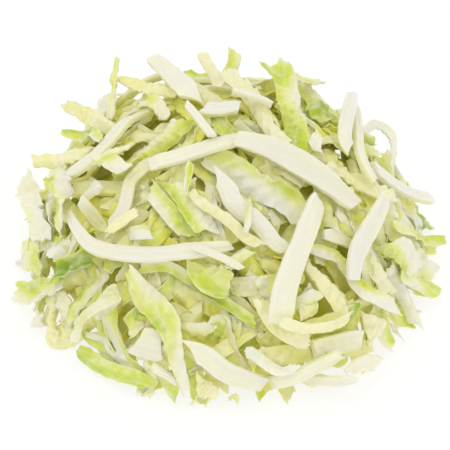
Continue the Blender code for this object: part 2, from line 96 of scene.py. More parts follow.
# How a shred is laid: where it is felt across its width and along it, how it rolls, bends and turns, how its
# ends taper and lift, and the gaps between it and what lies under or over it.
ACROSS = (-0.5, -0.25, 0, 0.25, 0.5)
LEAST_STATIONS = 4
SAMPLES_BETWEEN = 4
ROLL_WINDOW = 4
MOST_ROLL = math.radians(25)
SIDE_HOLD = 0.6
BEND_PASSES = 3
FACE_ALONG = 9
FACE_ACROSS = 17
CURVE_FINENESS = 40
PLACED_STEP = 4.2 * MM
STREWN_STEP = 4.5 * MM
STREWN_TRIES = 6
STREWN_BEND = 1 / (45 * MM)
STREWN_REACH = TOP_ARC + 0.75 * SKIRT_ARC
TWIST = math.radians(9)
STREWN_TWIST = math.radians(28)
END_TAPER = (0.45, 0.9)
WIDTH_SPREAD = (0.88, 1.08)
END_LIFT = 1.2 * MM
PLACED_GAP = 0.15 * MM
UNDER_GAP = 0.7 * MM
PRESS_GAP = 0.9 * MM

# Each kind of shred, with sizes in millimetres: its thickness and the tightest curve that it bends to; the
# height of its own small waves and of the frill along its edges; how far it rolls to and fro along its length
# in degrees, and cups as a share of its width; how deep its ends are torn; how leafy it is at least and at
# most, from white flesh at 0 to dark green at 1, and how creamy.
KINDS = {
    "rib": {
        "thickness": 2.4, "bend": 45, "waves": 0.1, "frill": 0.1, "roll": 8, "cup": 0.1, "rag": 0.2,
        "leafy": (0.0, 0.12), "cream": (0, 0.3),
    },
    "heart": {
        "thickness": 1.1, "bend": 26, "waves": 0.6, "frill": 0.9, "roll": 24, "cup": 0.5, "rag": 0.5,
        "leafy": (0.03, 0.25), "cream": (0.4, 0.9),
    },
    "leaf": {
        "thickness": 0.7, "bend": 18, "waves": 0.5, "frill": 0.75, "roll": 30, "cup": 0.75, "rag": 0.5,
        "leafy": (0.03, 0.58), "cream": (0, 0.3),
    },
    "green": {
        "thickness": 0.7, "bend": 18, "waves": 0.45, "frill": 0.7, "roll": 24, "cup": 0.6, "rag": 0.5,
        "leafy": (0.34, 0.84), "cream": (0, 0.3),
    },
}

# The strewn shreds. The bed has so many at each least slope in degrees. For each layer there is a seed,
# lengths and widths in millimetres, the lift of the ends, the gap to what is under it, and a height over the
# even surface that it stays under. A shred that would sink far into others is left off.
MIX = ("rib", "rib", "heart", "heart", "leaf", "leaf", "leaf", "leaf", "green")
BED_BANDS = ((0, 420), (58, 240), (72, 60))
BED = (7, (28, 66), (4.4, 8.2), 3.0 * MM, 0.35 * MM, 2 * MM)
COVER_COUNT = 600
COVER = (21, (22, 56), (3.8, 7.4), 3.0 * MM, 0.35 * MM, 3 * MM)
SCRAP_COUNT = 6
SCRAPS = (33, (9, 20), (2, 3.6), 0.6 * MM, 0.15 * MM, 6 * MM)
MOST_SUNK = 0.45 * MM

# Shreds placed one by one in the bed: kind, width in millimetres, and points on the sight grid. Each draws
# from a seed of its own, counted from this one.
BED_PLACED_SEED = 100
BED_PLACED = (
    ("rib", 7, (312, 352), (335, 345), (363, 338)),
    ("rib", 9.5, (130, 340), (148, 344), (166, 349)),
    ("rib", 6.3, (96, 328), (108, 345), (126, 366)),
    ("heart", 7, (62, 290), (69, 315), (72, 346)),
    ("heart", 4.5, (54, 295), (51, 320), (62, 342)),
    ("leaf", 5.5, (103, 257), (97, 275), (86, 296), (76, 320)),
    ("green", 10, (207, 325), (230, 331), (256, 342)),
    ("leaf", 7, (42, 247), (55, 240), (62, 252)),
    ("heart", 6, (368, 256), (378, 276), (389, 299)),
    ("heart", 10, (368, 303), (378, 322), (377, 346)),
    ("leaf", 7, (325, 220), (336, 238), (346, 253)),
    ("rib", 3, (152, 362), (165, 375), (179, 387)),
    ("rib", 7, (75, 178), (90, 190), (105, 200)),
    ("rib", 5, (95, 205), (90, 218), (95, 232)),
    ("heart", 7.5, (266, 318), (265, 338), (273, 358)),
    ("leaf", 5.5, (243, 265), (252, 290), (262, 315)),
    ("leaf", 5.5, (256, 275), (270, 290), (278, 311)),
    ("rib", 4, (336, 206), (348, 226), (358, 241)),
    ("heart", 5.5, (310, 262), (325, 288), (341, 316)),
    ("leaf", 6, (305, 283), (312, 300), (303, 322)),
    ("leaf", 6, (395, 255), (402, 285), (398, 312)),
    ("heart", 6, (120, 286), (110, 300), (96, 318)),
    ("leaf", 8, (142, 126), (122, 143), (103, 157)),
    ("heart", 7, (120, 138), (101, 150), (84, 158)),
    ("leaf", 6, (318, 358), (332, 364), (346, 366)),
    ("leaf", 7, (134, 141), (124, 156), (118, 172)),
    ("heart", 6.5, (262, 160), (285, 172), (308, 192)),
    ("heart", 6, (316, 148), (335, 152), (353, 162)),
    ("leaf", 6, (72, 232), (62, 245), (58, 262)),
)

# Large shreds on the back: kind, width in millimetres, slope of their middle and way round the heap in
# degrees, heading in degrees, length in millimetres, and bend in radians per metre.
BACK = (
    ("rib", 6, 35, 80, 20, 58, 6),
    ("leaf", 7, 56, 58, 100, 50, -5),
    ("heart", 5.5, 30, 122, 150, 52, 8),
    ("green", 7.5, 64, 104, 62, 48, -8),
    ("rib", 5, 66, 130, -22, 55, 9),
    ("leaf", 6.5, 50, 152, 75, 46, -9),
    ("heart", 5, 66, 34, 40, 48, 10),
    ("rib", 7, 52, 88, -48, 60, 5),
    ("green", 6, 42, 44, -30, 46, 9),
    ("leaf", 8, 70, 78, 5, 52, -6),
    ("heart", 4.5, 64, 160, 118, 44, 7),
)
BACK_STATIONS = 10

# Large shreds that are leafier than their kind, or less leafy, and by how much.
LEAFIER = {
    "green_shred_05": 0.1,
    "green_shred_06": 0.35,
    "green_shred_07": -0.08,
    "green_shred_09": -0.16,
    "leaf_shred_08": -0.1,
    "leaf_shred_12": -0.25,
}

# Large shreds placed one by one, the lowest first: kind, width in millimetres or widths along it, and points
# on the sight grid.
PLACED = (
    ("green", 5.5, (77, 352), (95, 363), (115, 373), (135, 378), (150, 387)),
    ("leaf", 7.5, (16, 291), (38, 291), (64, 283)),
    ("rib", 5, (268, 384), (295, 378), (315, 366), (335, 352)),
    ("rib", 5.5, (338, 364), (360, 362), (383, 363)),
    ("heart", 7.5, (203, 372), (206, 384), (207, 397)),
    ("leaf", 5, (392, 268), (403, 290), (412, 310), (418, 327)),
    ("leaf", 5.5, (402, 275), (420, 283), (437, 294)),
    ("leaf", 9, (383, 238), (403, 250), (419, 268)),
    ("green", 4.2, (394, 224), (410, 232), (428, 236), (443, 239)),
    ("green", 8, (313, 112), (326, 110), (339, 117)),
    ("rib", 5, (375, 165), (392, 180), (412, 192), (431, 197)),
    ("leaf", 4, (365, 131), (377, 123), (391, 133), (399, 152), (401, 172)),
    ("heart", 5, (330, 163), (350, 175), (372, 190), (394, 195)),
    ("rib", 4, (357, 104), (359, 130), (363, 155), (373, 180)),
    ("rib", 4.5, (353, 92), (348, 115), (345, 135), (348, 152)),
    ("leaf", 4.5, (292, 78), (306, 79), (321, 80)),
    ("leaf", 4.5, (234, 48), (234, 60), (225, 76)),
    ("heart", 4, (203, 54), (210, 68), (219, 82)),
    ("heart", 5, (121, 76), (145, 86), (176, 89)),
    ("leaf", 4.5, (117, 60), (113, 86), (111, 100), (101, 113)),
    ("heart", 5, (67, 102), (85, 113), (105, 125), (116, 133)),
    ("heart", 5, (32, 158), (50, 157), (68, 156), (90, 150)),
    ("leaf", 9, (21, 179), (31, 200), (38, 222), (43, 241)),
    ("leaf", 8, (27, 244), (32, 262), (38, 281)),
    ("green", 7.5, (49, 275), (68, 265), (92, 256)),
    ("rib", (4.5, 8.5, 9, 6.5), (154, 57), (170, 70), (184, 86), (194, 102)),
    ("rib", 4.5, (142, 104), (127, 117), (107, 141), (92, 163), (74, 176)),
    ("leaf", 7.5, (268, 60), (284, 80), (291, 105), (297, 130), (300, 150)),
    ("heart", 6, (222, 79), (243, 85), (258, 105), (270, 128), (285, 142)),
    ("green", 7, (189, 117), (165, 137), (135, 155), (104, 168)),
    ("rib", 4.8, (150, 163), (130, 178), (125, 200), (118, 218), (105, 233)),
    ("green", 6, (148, 186), (163, 205), (178, 222), (193, 240)),
    ("leaf", 7, (171, 182), (187, 200), (200, 220), (212, 238)),
    ("leaf", 8.5, (203, 152), (235, 168), (258, 186), (288, 198), (301, 222)),
    ("rib", (4, 6.5, 6.5, 6, 4.5), (211, 170), (226, 187), (236, 206), (256, 221), (276, 243), (290, 250)),
    ("rib", (4.6, 4.6, 5.2), (152, 162), (185, 153), (215, 142), (246, 136)),
    ("rib", (5, 7.5, 8.8, 8.6, 6.5), (240, 138), (270, 146), (305, 165), (335, 186), (357, 204)),
    ("leaf", 4, (312, 247), (335, 258), (350, 275), (365, 291), (398, 310)),
    ("rib", (5.5, 6.5, 6.5, 5), (388, 197), (373, 225), (360, 250), (353, 277)),
    ("leaf", 4, (138, 270), (165, 266), (188, 278), (212, 295), (236, 310), (258, 326)),
    ("leaf", 9.5, (195, 256), (205, 275), (228, 287)),
    (
        "green", (3, 8.5, 9, 6, 5, 4),
        (130, 268), (143, 296), (160, 312), (172, 335), (177, 362), (186, 394),
    ),
    ("rib", (5.5, 7.5, 7.5, 6), (182, 349), (205, 357), (228, 374), (264, 387)),
    ("heart", 6, (258, 298), (270, 318), (285, 333), (308, 343)),
    ("rib", (6, 7.5, 8.5, 9, 7.5), (320, 199), (307, 232), (295, 262), (286, 290), (281, 320)),
    ("heart", 4, (283, 322), (305, 329), (328, 327), (354, 316)),
    (
        "rib", (3.2, 4.6, 5.2, 5, 4.6, 3),
        (68, 213), (76, 229), (90, 244), (115, 251), (150, 253), (190, 250), (232, 246),
    ),
)

# Small shreds placed one by one over the others.
SMALL_PLACED_SEED = 200
SMALL_PLACED = (
    ("leaf", 4, (28, 325), (38, 321), (50, 316)),
    ("rib", 5, (305, 387), (320, 375), (336, 361)),
    ("green", 4, (233, 384), (234, 395), (235, 405)),
    ("leaf", 6.5, (308, 130), (315, 143), (327, 156)),
    ("green", 4, (61, 132), (80, 128), (93, 133), (103, 141)),
    ("leaf", 5, (150, 96), (157, 108), (168, 119)),
    ("rib", 4.5, (197, 114), (220, 110), (244, 103)),
    ("rib", 2.5, (186, 110), (200, 124), (214, 138)),
    ("heart", 3.8, (189, 190), (206, 210), (226, 217), (246, 240), (266, 248)),
    ("leaf", 4, (243, 353), (256, 350), (268, 366), (282, 368), (296, 355)),
    ("leaf", 3.5, (72, 345), (85, 318), (100, 305), (122, 296)),
    ("leaf", 3.2, (225, 270), (235, 258), (257, 249)),
    ("green", 5.5, (143, 156), (125, 166), (107, 175)),
    ("leaf", 8, (52, 172), (62, 187), (74, 198)),
    ("green", 5.5, (73, 196), (63, 213), (55, 233)),
    ("heart", 6, (134, 142), (119, 156), (101, 170)),
    ("leaf", 7, (131, 157), (116, 167), (101, 176)),
)

# How a large blade lies on its solid: how near the corners are that tell the solid's slope, how far it turns
# to the viewer, and how far it goes on past the last places found.
SOLID_SEARCH = 4.5 * MM
FACING = 0.55
PAST_END = 1.5 * MM

# The mesh of a blade: the length of a row and the columns across, and the angle from which an edge is sharp.
PLACED_GRAIN = (0.7 * MM, 21)
STREWN_GRAIN = (1.3 * MM, 9)
LEAST_ROWS = 6
SHARP_ANGLE = math.radians(52)

# A blade's outline: how it narrows to its tips and slants and tears there, and how its width and its edges
# waver, each with a span and a share of the width.
TIP_RUN = (2.5 * MM, 9 * MM)
TIP_WIDTH = (0.15, 1.0)
SHAPED_TIP_WIDTH = 0.75
MOST_SLANT = 1.2
SLANT_SHARE = 0.8
RAG_SPAN = 0.3
WIDTH_SWAY = (16 * MM, 0.14)
EDGE_SPANS = ((6 * MM, 0.08), (2 * MM, 0.025))
LEAST_EDGE = 0.25

# Where two large shreds are one long one, placed in two parts: how near their ends are on the sight grid, and
# how each narrows and thins over the other.
JOIN_REACH = 8
JOIN_TAPER = 3 * MM
JOIN_WIDTH = 0.93
JOIN_THICKNESS = 0.15

# A blade's relief: its cup, its waves and its frill, the last two lower on narrow blades; a rib's furrows, in
# numbers from the middle to an edge; a leaf's fold and the line that it folds on; how a blade rolls to and
# fro; and how it thins to its edges and at the foot of the heap.
CUP_SPAN = 12 * MM
LEAST_CUP = 0.3
CUP_LEVEL = 0.33
WAVE_COUNT = 5
WAVE_SPAN = (3 * MM, 9 * MM)
WAVE_SLANT = 0.7
WAVED_HALF_WIDTH = 3.4 * MM
NARROW_WAVES = (0.3, 1.1)
FRILL_SPAN = (4.5 * MM, 12 * MM)
FRILL_SHARE = (0.2, 1)
FRILL_WOBBLE = 2.5
FURROW_HEIGHT = 0.09 * MM
FURROW_SPAN = 14 * MM
FURROWS = ((0.6, 1.2), (1.8, 2.6))
FURROW_PHASE = 6
FOLDS = (0, 0, 0.25, 0.45)
FOLD_PLACE = 0.4
FOLD_SWAY = (20 * MM, 0.2)
FOLD_ROUND = 0.02
FOLD_LEVEL = 0.5
ROLL_SPAN = 15 * MM
EDGE_THICKNESS = 0.6
EDGE_ROUND = 0.98
RIB_THICKNESS_SPREAD = (0.75, 1.05)
FOOT_THICKNESS = 0.8

# How leafiness changes along a blade, across it, in patches and streaks with a span and a share, and at its
# edges: paler at a leaf's edges, and leafier at a rib's as a yellowish painted shade on its side walls; and
# how far each shred's tone differs at random.
PATCHES = (11 * MM, 0.4)
STREAKS = (4 * MM, 0.1)
TILT_ACROSS = 0.8
PAST_LEAFY = 0.2
EDGE_START = 0.7
EDGE_RUN = 0.3
PALE_EDGE = 0.35
RIB_EDGE_SHADE = 0.16
SHADE = (0.94, 1.02)

# How deep a spot lies under the skin of the heap where its colour starts to turn to painted shade, the warm
# yellow shade of the crevices between shreds, and where it has turned, and how far it turns at most, for each
# group of shreds.
PAINTED_SHADE_START = 1.3 * MM
PAINTED_SHADE_END = 9 * MM
MOST_PAINTED_SHADE = {"bed_low": 0.75, "bed_high": 0.65, "bed_cover": 0.45, "bed_placed": 0.25}
LARGE_MOST_PAINTED_SHADE = 0.25

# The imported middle: its rings and sides, and how rough it is.
MIDDLE_RINGS = 26
MIDDLE_SIDES = 90
MIDDLE_SEED = 5
MIDDLE_ROUGHNESS = 1.2

# A blade's place in its cell of the picture plane: the free rim, the closed ends, and the wall between them.
UV_MARGIN = 0.08
UV_END = 0.02
UV_WALL = (0.03, 0.94)

# The two materials: how much light goes under the surface and how far, and how strong and high the bump is.
REFRACTION = 1.38
SCATTER = (1.0, 1.0, 0.9)
RIB_DEPTH = (0.5, 2.0 * MM)
LEAF_DEPTH = (0.4, 1.4 * MM)
RIB_BUMP = (0.12, 0.2 * MM)
LEAF_BUMP = (0.3, 0.5 * MM)

# Their patterns: how often each repeats in a metre along a blade and across it, and how much it differs from
# one blade to the next; then the range of its values that counts, and what that range is carried to.
PATTERN_SHIFT = 4
FIBRES = (90, 1500, 7)
CLEAR_BANDS = (45, 260, 7)
VEIN_NET = (120, 210, 7)
PALE_STREAKS = (110, 380, 7)
MOTTLE = (330, 420, 7)
FIBRE_LEVEL = (0.3, 0.7, 0.98, 1.01)
CLEAR_SHARE = (0.45, 0.7, 0, 0.65)
VEIN_WIDTH = (0.0, 0.16, 1, 0)
VEIN_SHARE = (0, 1, 0, 0.22)
STREAK_SHARE = (0.45, 0.7, 0, 0.5)
MOTTLE_LEVEL = (0.3, 0.7, 0.97, 1.03)
VEIN_HEIGHT = 0.25

# The stage: the table's half side and finish, the room's light, and each lamp's place, size and power.
TABLE_REACH = 4.0
TABLE_FINISH = {
    "Base Color": (0.25, 0.25, 0.25, 1),
    "Roughness": 0.9,
    "Specular IOR Level": 0.1,
    "Emission Color": (1, 1, 1, 1),
    "Emission Strength": 0.77,
}
ROOM_COLOUR = (1, 0.985, 0.94, 1)
ROOM_STRENGTH = 0.88
LAMPS = (
    ("key", (-0.20, -0.15, 0.80), 0.5, 1.0),
    ("fill", (0.45, -0.45, 0.5), 0.6, 0.3),
)
LAMP_AIM = Vector((0, 0, 0.03))
CLIP = (0.01, 20)
DIFFUSE_BOUNCES = 9


def even_surface(u, v, height):
    """Points at a height above the even surface, and its outward normals, for places on the map.

    The map is the surface rolled flat: its radius is the way from the top, down the flank and over the table.
    """
    along = np.hypot(u, v)
    around = np.arctan2(v, u)
    lean = np.clip(FLANK_SLOPE - (along - TOP_ARC) / SKIRT_RADIUS, 0, FLANK_SLOPE)
    slope = np.where(along < TOP_ARC, along / TOP_RADIUS, lean)
    beyond = np.maximum(0, along - TOP_ARC - SKIRT_ARC)
    skirt_out = SHOULDER_REACH + SKIRT_RADIUS * (math.sin(FLANK_SLOPE) - np.sin(lean)) + beyond
    skirt_up = SHOULDER_HEIGHT - SKIRT_RADIUS * (np.cos(lean) - math.cos(FLANK_SLOPE))
    out = np.where(along < TOP_ARC, TOP_RADIUS * np.sin(slope), skirt_out)
    up = np.where(along < TOP_ARC, TOP_CENTRE_HEIGHT + TOP_RADIUS * np.cos(slope), skirt_up)
    normals = np.stack(
        [np.sin(slope) * np.cos(around), np.sin(slope) * np.sin(around), np.cos(slope)], axis=-1
    )
    feet = np.stack([out * np.cos(around), out * np.sin(around), up], axis=-1)
    return feet + normals * np.asarray(height)[..., None], normals


def unrolled(points):
    """The place on the map, u and v, and the height above the even surface, of points in space."""
    x, y, z = np.moveaxis(points, -1, 0)
    out = np.hypot(x, y)
    tilt = np.arctan2(out, z - TOP_CENTRE_HEIGHT)
    lean = np.clip(np.arctan2(FOOT_REACH - out, SKIRT_RADIUS - z), 0, FLANK_SLOPE)
    on_top = tilt <= FLANK_SLOPE
    on_skirt = ~on_top & (out < FOOT_REACH)
    along = np.where(
        on_top,
        TOP_RADIUS * tilt,
        np.where(
            on_skirt,
            TOP_ARC + SKIRT_RADIUS * (FLANK_SLOPE - lean),
            TOP_ARC + SKIRT_ARC + out - FOOT_REACH,
        ),
    )
    height = np.where(
        on_top,
        np.hypot(out, z - TOP_CENTRE_HEIGHT) - TOP_RADIUS,
        np.where(on_skirt, SKIRT_RADIUS - np.hypot(FOOT_REACH - out, SKIRT_RADIUS - z), z),
    )
    around = np.arctan2(y, x)
    return along * np.cos(around), along * np.sin(around), height


class HeapMap:
    """How high the heap stands above the even surface at each place on the map, as shreds are laid on it."""

    def __init__(self):
        self.half = int(MAP_REACH / MAP_CELL)
        side = np.arange(-self.half, self.half + 1) * MAP_CELL
        u, v = np.meshgrid(side, side, indexing="ij")
        feet, normals = even_surface(u, v, np.zeros_like(u))
        table = (TABLE_GAP - feet[..., 2]) / normals[..., 2]
        self.top = np.maximum(-BED_DEPTH, table)
        self.ceiling = np.full_like(self.top, np.inf)

    def cells(self, u, v):
        """The column and row of the cell at each place, short of the rim."""
        ways = (np.rint(way / MAP_CELL).astype(int) + self.half for way in (u, v))
        return tuple(np.clip(way, 1, 2 * self.half - 1) for way in ways)

    def height(self, u, v):
        """The highest of the cell and its neighbours."""
        column, row = self.cells(u, v)
        return np.max([self.top[column + i, row + j] for i, j in NEAR], axis=0)

    def cover(self, points):
        """Raises the map to points on the upper face of a shred."""
        u, v, height = unrolled(points)
        np.maximum.at(self.top, self.cells(u, v), height)

    def hang(self, points):
        """Lowers the ceiling to points on the lower face of a shred whose place is already settled."""
        u, v, height = unrolled(points)
        np.minimum.at(self.ceiling, self.cells(u, v), height)

    def room(self, u, v):
        """The lowest ceiling of the cell and its neighbours."""
        column, row = self.cells(u, v)
        return np.min([self.ceiling[column + i, row + j] for i, j in NEAR], axis=0)

    def press(self, points):
        """Presses points down where they would come up through a large shred over them."""
        u, v, height = unrolled(points)
        most = self.room(u, v) - PRESS_GAP
        high = height > most
        points[high] = even_surface(u[high], v[high], most[high])[0]
        points[..., 2] = np.maximum(points[..., 2], TABLE_GAP)

    def skin(self):
        """A copy with the heights of a cloth stretched over the heap, to tell how far a spot lies under it,
        for painted shade.
        """
        skin = HeapMap()
        skin.top = self.top
        for gathered, times in ((np.max, SKIN_WIDENINGS), (np.mean, SKIN_EVENINGS)):
            for _ in range(times):
                skin.top = gathered([np.roll(skin.top, shift, (0, 1)) for shift in NEAR], axis=0)
        return skin


def unit(vectors):
    return vectors / np.linalg.norm(vectors, axis=-1, keepdims=True)


def spread_over(values, share):
    """Values spread evenly over a length, read at shares of it."""
    return np.interp(share, np.linspace(0, 1, len(values)), values)


def between(values, count):
    """Values at count even steps along a list."""
    return spread_over(values, np.linspace(0, 1, count))


def softened(rows):
    """Rows evened out along a line, with its ends kept."""
    rows = rows.copy()
    rows[1:-1] = (rows[:-2] + 2 * rows[1:-1] + rows[2:]) / 4
    return rows


def flowed(values, places):
    """Values at places along a smooth curve through rows of values, where each row is one step."""
    values = np.asarray(values, float)
    ends = np.stack([2 * values[0] - values[1], 2 * values[-1] - values[-2]])
    held = np.concatenate([ends[:1], values, ends[1:]])
    row = np.clip(np.floor(places).astype(int), 0, len(values) - 2)
    t = (places - row)[..., None]
    a, b, c, d = held[row], held[row + 1], held[row + 2], held[row + 3]
    return b + ((c - a) * t + (2 * a - 5 * b + 4 * c - d) * t**2 + (3 * b - a - 3 * c + d) * t**3) / 2


def turned(sides, normals, angle):
    """Sides and normals turned by an angle from the side to the normal."""
    return sides * np.cos(angle) + normals * np.sin(angle), normals * np.cos(angle) - sides * np.sin(angle)


def frames(centres, normals):
    """The sides and normals along a line of points.

    Where the line stands straight out of the heap its side is carried on from its flattest place.
    """
    tangents = unit(np.gradient(centres, axis=0))
    sides = np.cross(tangents, normals)
    flattest = int(np.argmax(np.linalg.norm(sides, axis=-1)))
    for order in (range(flattest + 1, len(centres)), range(flattest - 1, -1, -1)):
        previous = sides[flattest]
        for i in order:
            held = previous - tangents[i] * np.dot(previous, tangents[i])
            previous = sides[i] = unit(sides[i] + SIDE_HOLD * held)
    sides[flattest] = unit(sides[flattest])
    return sides, np.cross(sides, tangents)


def lay(cut, path, heap, gap, most_height=math.inf):
    """Lays a shred on the heap: the centre, side and normal at each of its stations.

    A shred rolls with what is under it, clears the highest point under each of its lengths by the gap, and
    bends down between them no tighter than its kind does. Then it gives way to the ceiling and to the height
    allowed.
    """
    u, v, raised = path
    count = len(u)
    fine = (count - 1) * SAMPLES_BETWEEN + 1
    fine_u, fine_v = between(u, fine), between(v, fine)
    width = between(cut["widths"], fine)
    ground = np.maximum(heap.height(fine_u, fine_v), between(raised, fine))
    centres, normals = even_surface(fine_u, fine_v, ground)
    smooth_centres, _ = even_surface(fine_u, fine_v, np.maximum(between(raised, fine), 0))
    sides, _ = frames(smooth_centres, normals)
    heights, room = [], np.full(fine, most_height)
    for side in ACROSS:
        edge_u, edge_v, _ = unrolled(centres + sides * (side * width)[:, None])
        heights.append(heap.height(edge_u, edge_v))
        room = np.minimum(room, heap.room(edge_u, edge_v))
    roll = np.clip(np.arctan2(heights[-1] - heights[0], width), -MOST_ROLL, MOST_ROLL)
    window = ROLL_WINDOW * SAMPLES_BETWEEN + 1
    roll = np.convolve(np.pad(roll, window // 2, mode="edge"), np.ones(window) / window, "valid")
    roll = roll + between(cut["twist"], fine)
    lean = width * np.sin(roll)
    need = np.max([height - side * lean for height, side in zip(heights, ACROSS)], axis=0)
    need = need + cut["thickness"] / 2 / np.cos(roll) + gap
    spans = [slice(max(0, (i - 1) * SAMPLES_BETWEEN), (i + 1) * SAMPLES_BETWEEN + 1) for i in range(count)]
    height = np.maximum([need[span].max() for span in spans], raised)
    room = np.array([room[span].min() for span in spans]) - cut["thickness"] / 2
    step = np.linalg.norm(np.diff(even_surface(u, v, np.maximum(raised, 0))[0], axis=0), axis=1).mean()
    give = step**2 / (2 * cut["bend"])
    for _ in range(BEND_PASSES * count):
        height[1:-1] = np.maximum(height[1:-1], (height[:-2] + height[2:]) / 2 - give)
    height = np.minimum(height + between(cut["lifts"], count), room)
    for _ in range(BEND_PASSES * count):
        height[1:-1] = np.minimum(height[1:-1], (height[:-2] + height[2:]) / 2 + give)
    centres, normals = even_surface(u, v, height)
    sides, normals = frames(centres, normals)
    return centres, *turned(sides, normals, roll[::SAMPLES_BETWEEN, None])


def face_of(cut, laid, side):
    """Points spread closely over a shred's upper face, for side 1, or its lower face, for side -1."""
    centres, sides, normals = laid
    half = between(cut["widths"], len(centres))[:, None] / 2
    face = centres + normals * side * cut["thickness"] / 2
    steps = np.linspace(0, 1, FACE_ALONG)[:, None, None]
    left, right = face - sides * half, face + sides * half
    left = left[:-1] * (1 - steps) + left[1:] * steps
    right = right[:-1] * (1 - steps) + right[1:] * steps
    return np.concatenate([left * (1 - a) + right * a for a in np.linspace(0, 1, FACE_ACROSS)])


def cut_of(kind, width, draw, lift, twist=TWIST):
    """A shred's own measures, in metres, and the rates that its kind gives it."""
    broad = np.atleast_1d(width).astype(float) * MM
    ends = [draw.uniform(*END_TAPER) for _ in range(2)]
    middle = [width * draw.uniform(*WIDTH_SPREAD) for width in between(broad, 4)]
    about = KINDS[kind]
    return {
        "kind": kind,
        "shaped": len(broad) > 1,
        "broad": broad if len(broad) > 1 else np.full(2, np.mean(middle)),
        "widths": [middle[0] * ends[0], *middle, middle[-1] * ends[1]],
        "twist": [draw.uniform(-twist, twist) for _ in range(3)],
        "thickness": about["thickness"] * MM,
        "bend": about["bend"] * MM,
        "lifts": [draw.uniform(0, lift), 0, 0, 0, draw.uniform(0, lift)],
    }


def mapped_path(tilt, around, heading, length, bend, stations):
    """A bent line on the map about a place on the heap's top, kept off the table beyond the skirt."""
    stretch = tilt / max(math.sin(tilt), 1e-6)
    map_length = length * math.hypot(math.cos(heading - around), stretch * math.sin(heading - around))
    steps = np.linspace(-0.5, 0.5, stations) * map_length
    along = TOP_RADIUS * tilt
    u = along * math.cos(around) + steps * math.cos(heading) - bend * steps**2 / 2 * math.sin(heading)
    v = along * math.sin(around) + steps * math.sin(heading) + bend * steps**2 / 2 * math.cos(heading)
    over = max(0, np.hypot(u, v).max() - STREWN_REACH)
    return u - over * math.cos(around), v - over * math.sin(around), np.full(stations, -BED_DEPTH)


def strewn_path(draw, heap, length, least_slope):
    """A shred's path by rule: of a few places drawn at random, the one where the heap is lowest."""
    stations = max(LEAST_STATIONS, round(length / STREWN_STEP) + 1)
    paths = []
    for _ in range(STREWN_TRIES):
        tilt = math.acos(draw.uniform(math.cos(FLANK_SLOPE), math.cos(least_slope)))
        around, heading = draw.uniform(-math.pi, math.pi), draw.uniform(-math.pi, math.pi)
        bend = draw.uniform(-STREWN_BEND, STREWN_BEND)
        paths.append(mapped_path(tilt, around, heading, length, bend, stations))
    return min(paths, key=lambda path: float(np.mean(heap.height(path[0], path[1]))))


def curve_through(points):
    """Points at even steps along a smooth curve through guide points on the sight grid."""
    fine = flowed(points, np.linspace(0, len(points) - 1, CURVE_FINENESS * len(points)))
    run = np.concatenate([[0], np.cumsum(np.linalg.norm(np.diff(fine, axis=0), axis=1))])
    count = max(LEAST_STATIONS, round(run[-1] * GRID_STEP / PLACED_STEP) + 1)
    even = np.linspace(0, run[-1], count)
    return np.stack([np.interp(even, run, fine[:, 0]), np.interp(even, run, fine[:, 1])], axis=1)


def sight_axes():
    """Which way the viewer looks, and across and up on the sheet."""
    toward = np.array([0, math.cos(SIGHT_RISE), -math.sin(SIGHT_RISE)])
    up = np.array([0, math.sin(SIGHT_RISE), math.cos(SIGHT_RISE)])
    return toward, np.array([1, 0, 0]), up


def sighted(points, wanted):
    """The path under points of the sight grid: where each line of sight comes down to a height over the heap.

    A line that never comes so low gives its lowest place, and the shred is raised to it.
    """
    path = []
    for column, row in points:
        eye, ray = sight_ray(column, row)
        reach = np.linspace(SIGHT_DISTANCE - SIGHT_SPAN, SIGHT_DISTANCE + SIGHT_SPAN, SIGHT_STEPS)
        places = eye + ray * reach[:, None]
        places = places[(DOME_CENTRE - places) @ ray >= 0]
        u, v, height = unrolled(places)
        low = np.nonzero(height <= wanted)[0]
        first = low[0] if len(low) else int(np.argmin(height))
        path.append((u[first], v[first], -BED_DEPTH if len(low) else height[first]))
    return softened(softened(np.array(path))).T


def sight_ray(column, row):
    """The eye, and the direction of the line of sight through a point of the grid."""
    toward, across, up = sight_axes()
    eye = SIGHT_AIM - toward * SIGHT_DISTANCE
    spot = SIGHT_AIM + across * (column - GRID_MIDDLE) * GRID_STEP + up * (GRID_MIDDLE - row) * GRID_STEP
    return eye, (spot - eye) / np.linalg.norm(spot - eye)


def rays_above(path):
    """A ray straight down onto the heap at each place of a path on the map."""
    starts, normals = even_surface(path[0], path[1], np.full(len(path[0]), RAY_HEIGHT))
    return list(zip(starts, -normals))


def laid_on_solid(name, rays, facing):
    """Where the solid of a large shred lies: its centre, side and normal where each ray meets or nears it.

    The normal is the direction in which the solid's own corners spread the least, turned a little to the
    viewer where facing says so.
    """
    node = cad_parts[name]
    corners = np.array([node.matrix_world @ vertex.co for vertex in node.data.vertices])
    tree = BVHTree.FromPolygons(corners.tolist(), [list(face.vertices) for face in node.data.polygons])
    starts, ways = (np.array(part) for part in zip(*rays))
    reach = []
    for start, way in rays:
        met = tree.ray_cast(Vector(start), Vector(way))[3]
        along = (corners - start) @ way
        apart = np.linalg.norm(corners - start - along[:, None] * way, axis=1)
        reach.append(along[np.argmin(apart)] if met is None else met)
    places = starts + ways * softened(np.array(reach))[:, None]
    centres, normals = [], []
    for place in places:
        away = corners - place
        weight = np.exp(-((away**2).sum(axis=1)) / SOLID_SEARCH**2)
        middle = weight @ away / weight.sum()
        spread = (away - middle).T * weight @ (away - middle)
        normal = np.linalg.eigh(spread)[1][:, 0]
        normal = normal * np.sign(normal @ (place - DOME_CENTRE))
        centres.append(place + normal * (normal @ middle))
        normals.append(normal)
    centres, normals = np.array(centres), softened(softened(np.array(normals)))
    first, last = unit(centres[0] - centres[1]), unit(centres[-1] - centres[-2])
    centres[0] += first * PAST_END
    centres[-1] += last * PAST_END
    sides, normals = frames(centres, unit(normals) - facing * sight_axes()[0])
    return centres, sides, unit(normals)


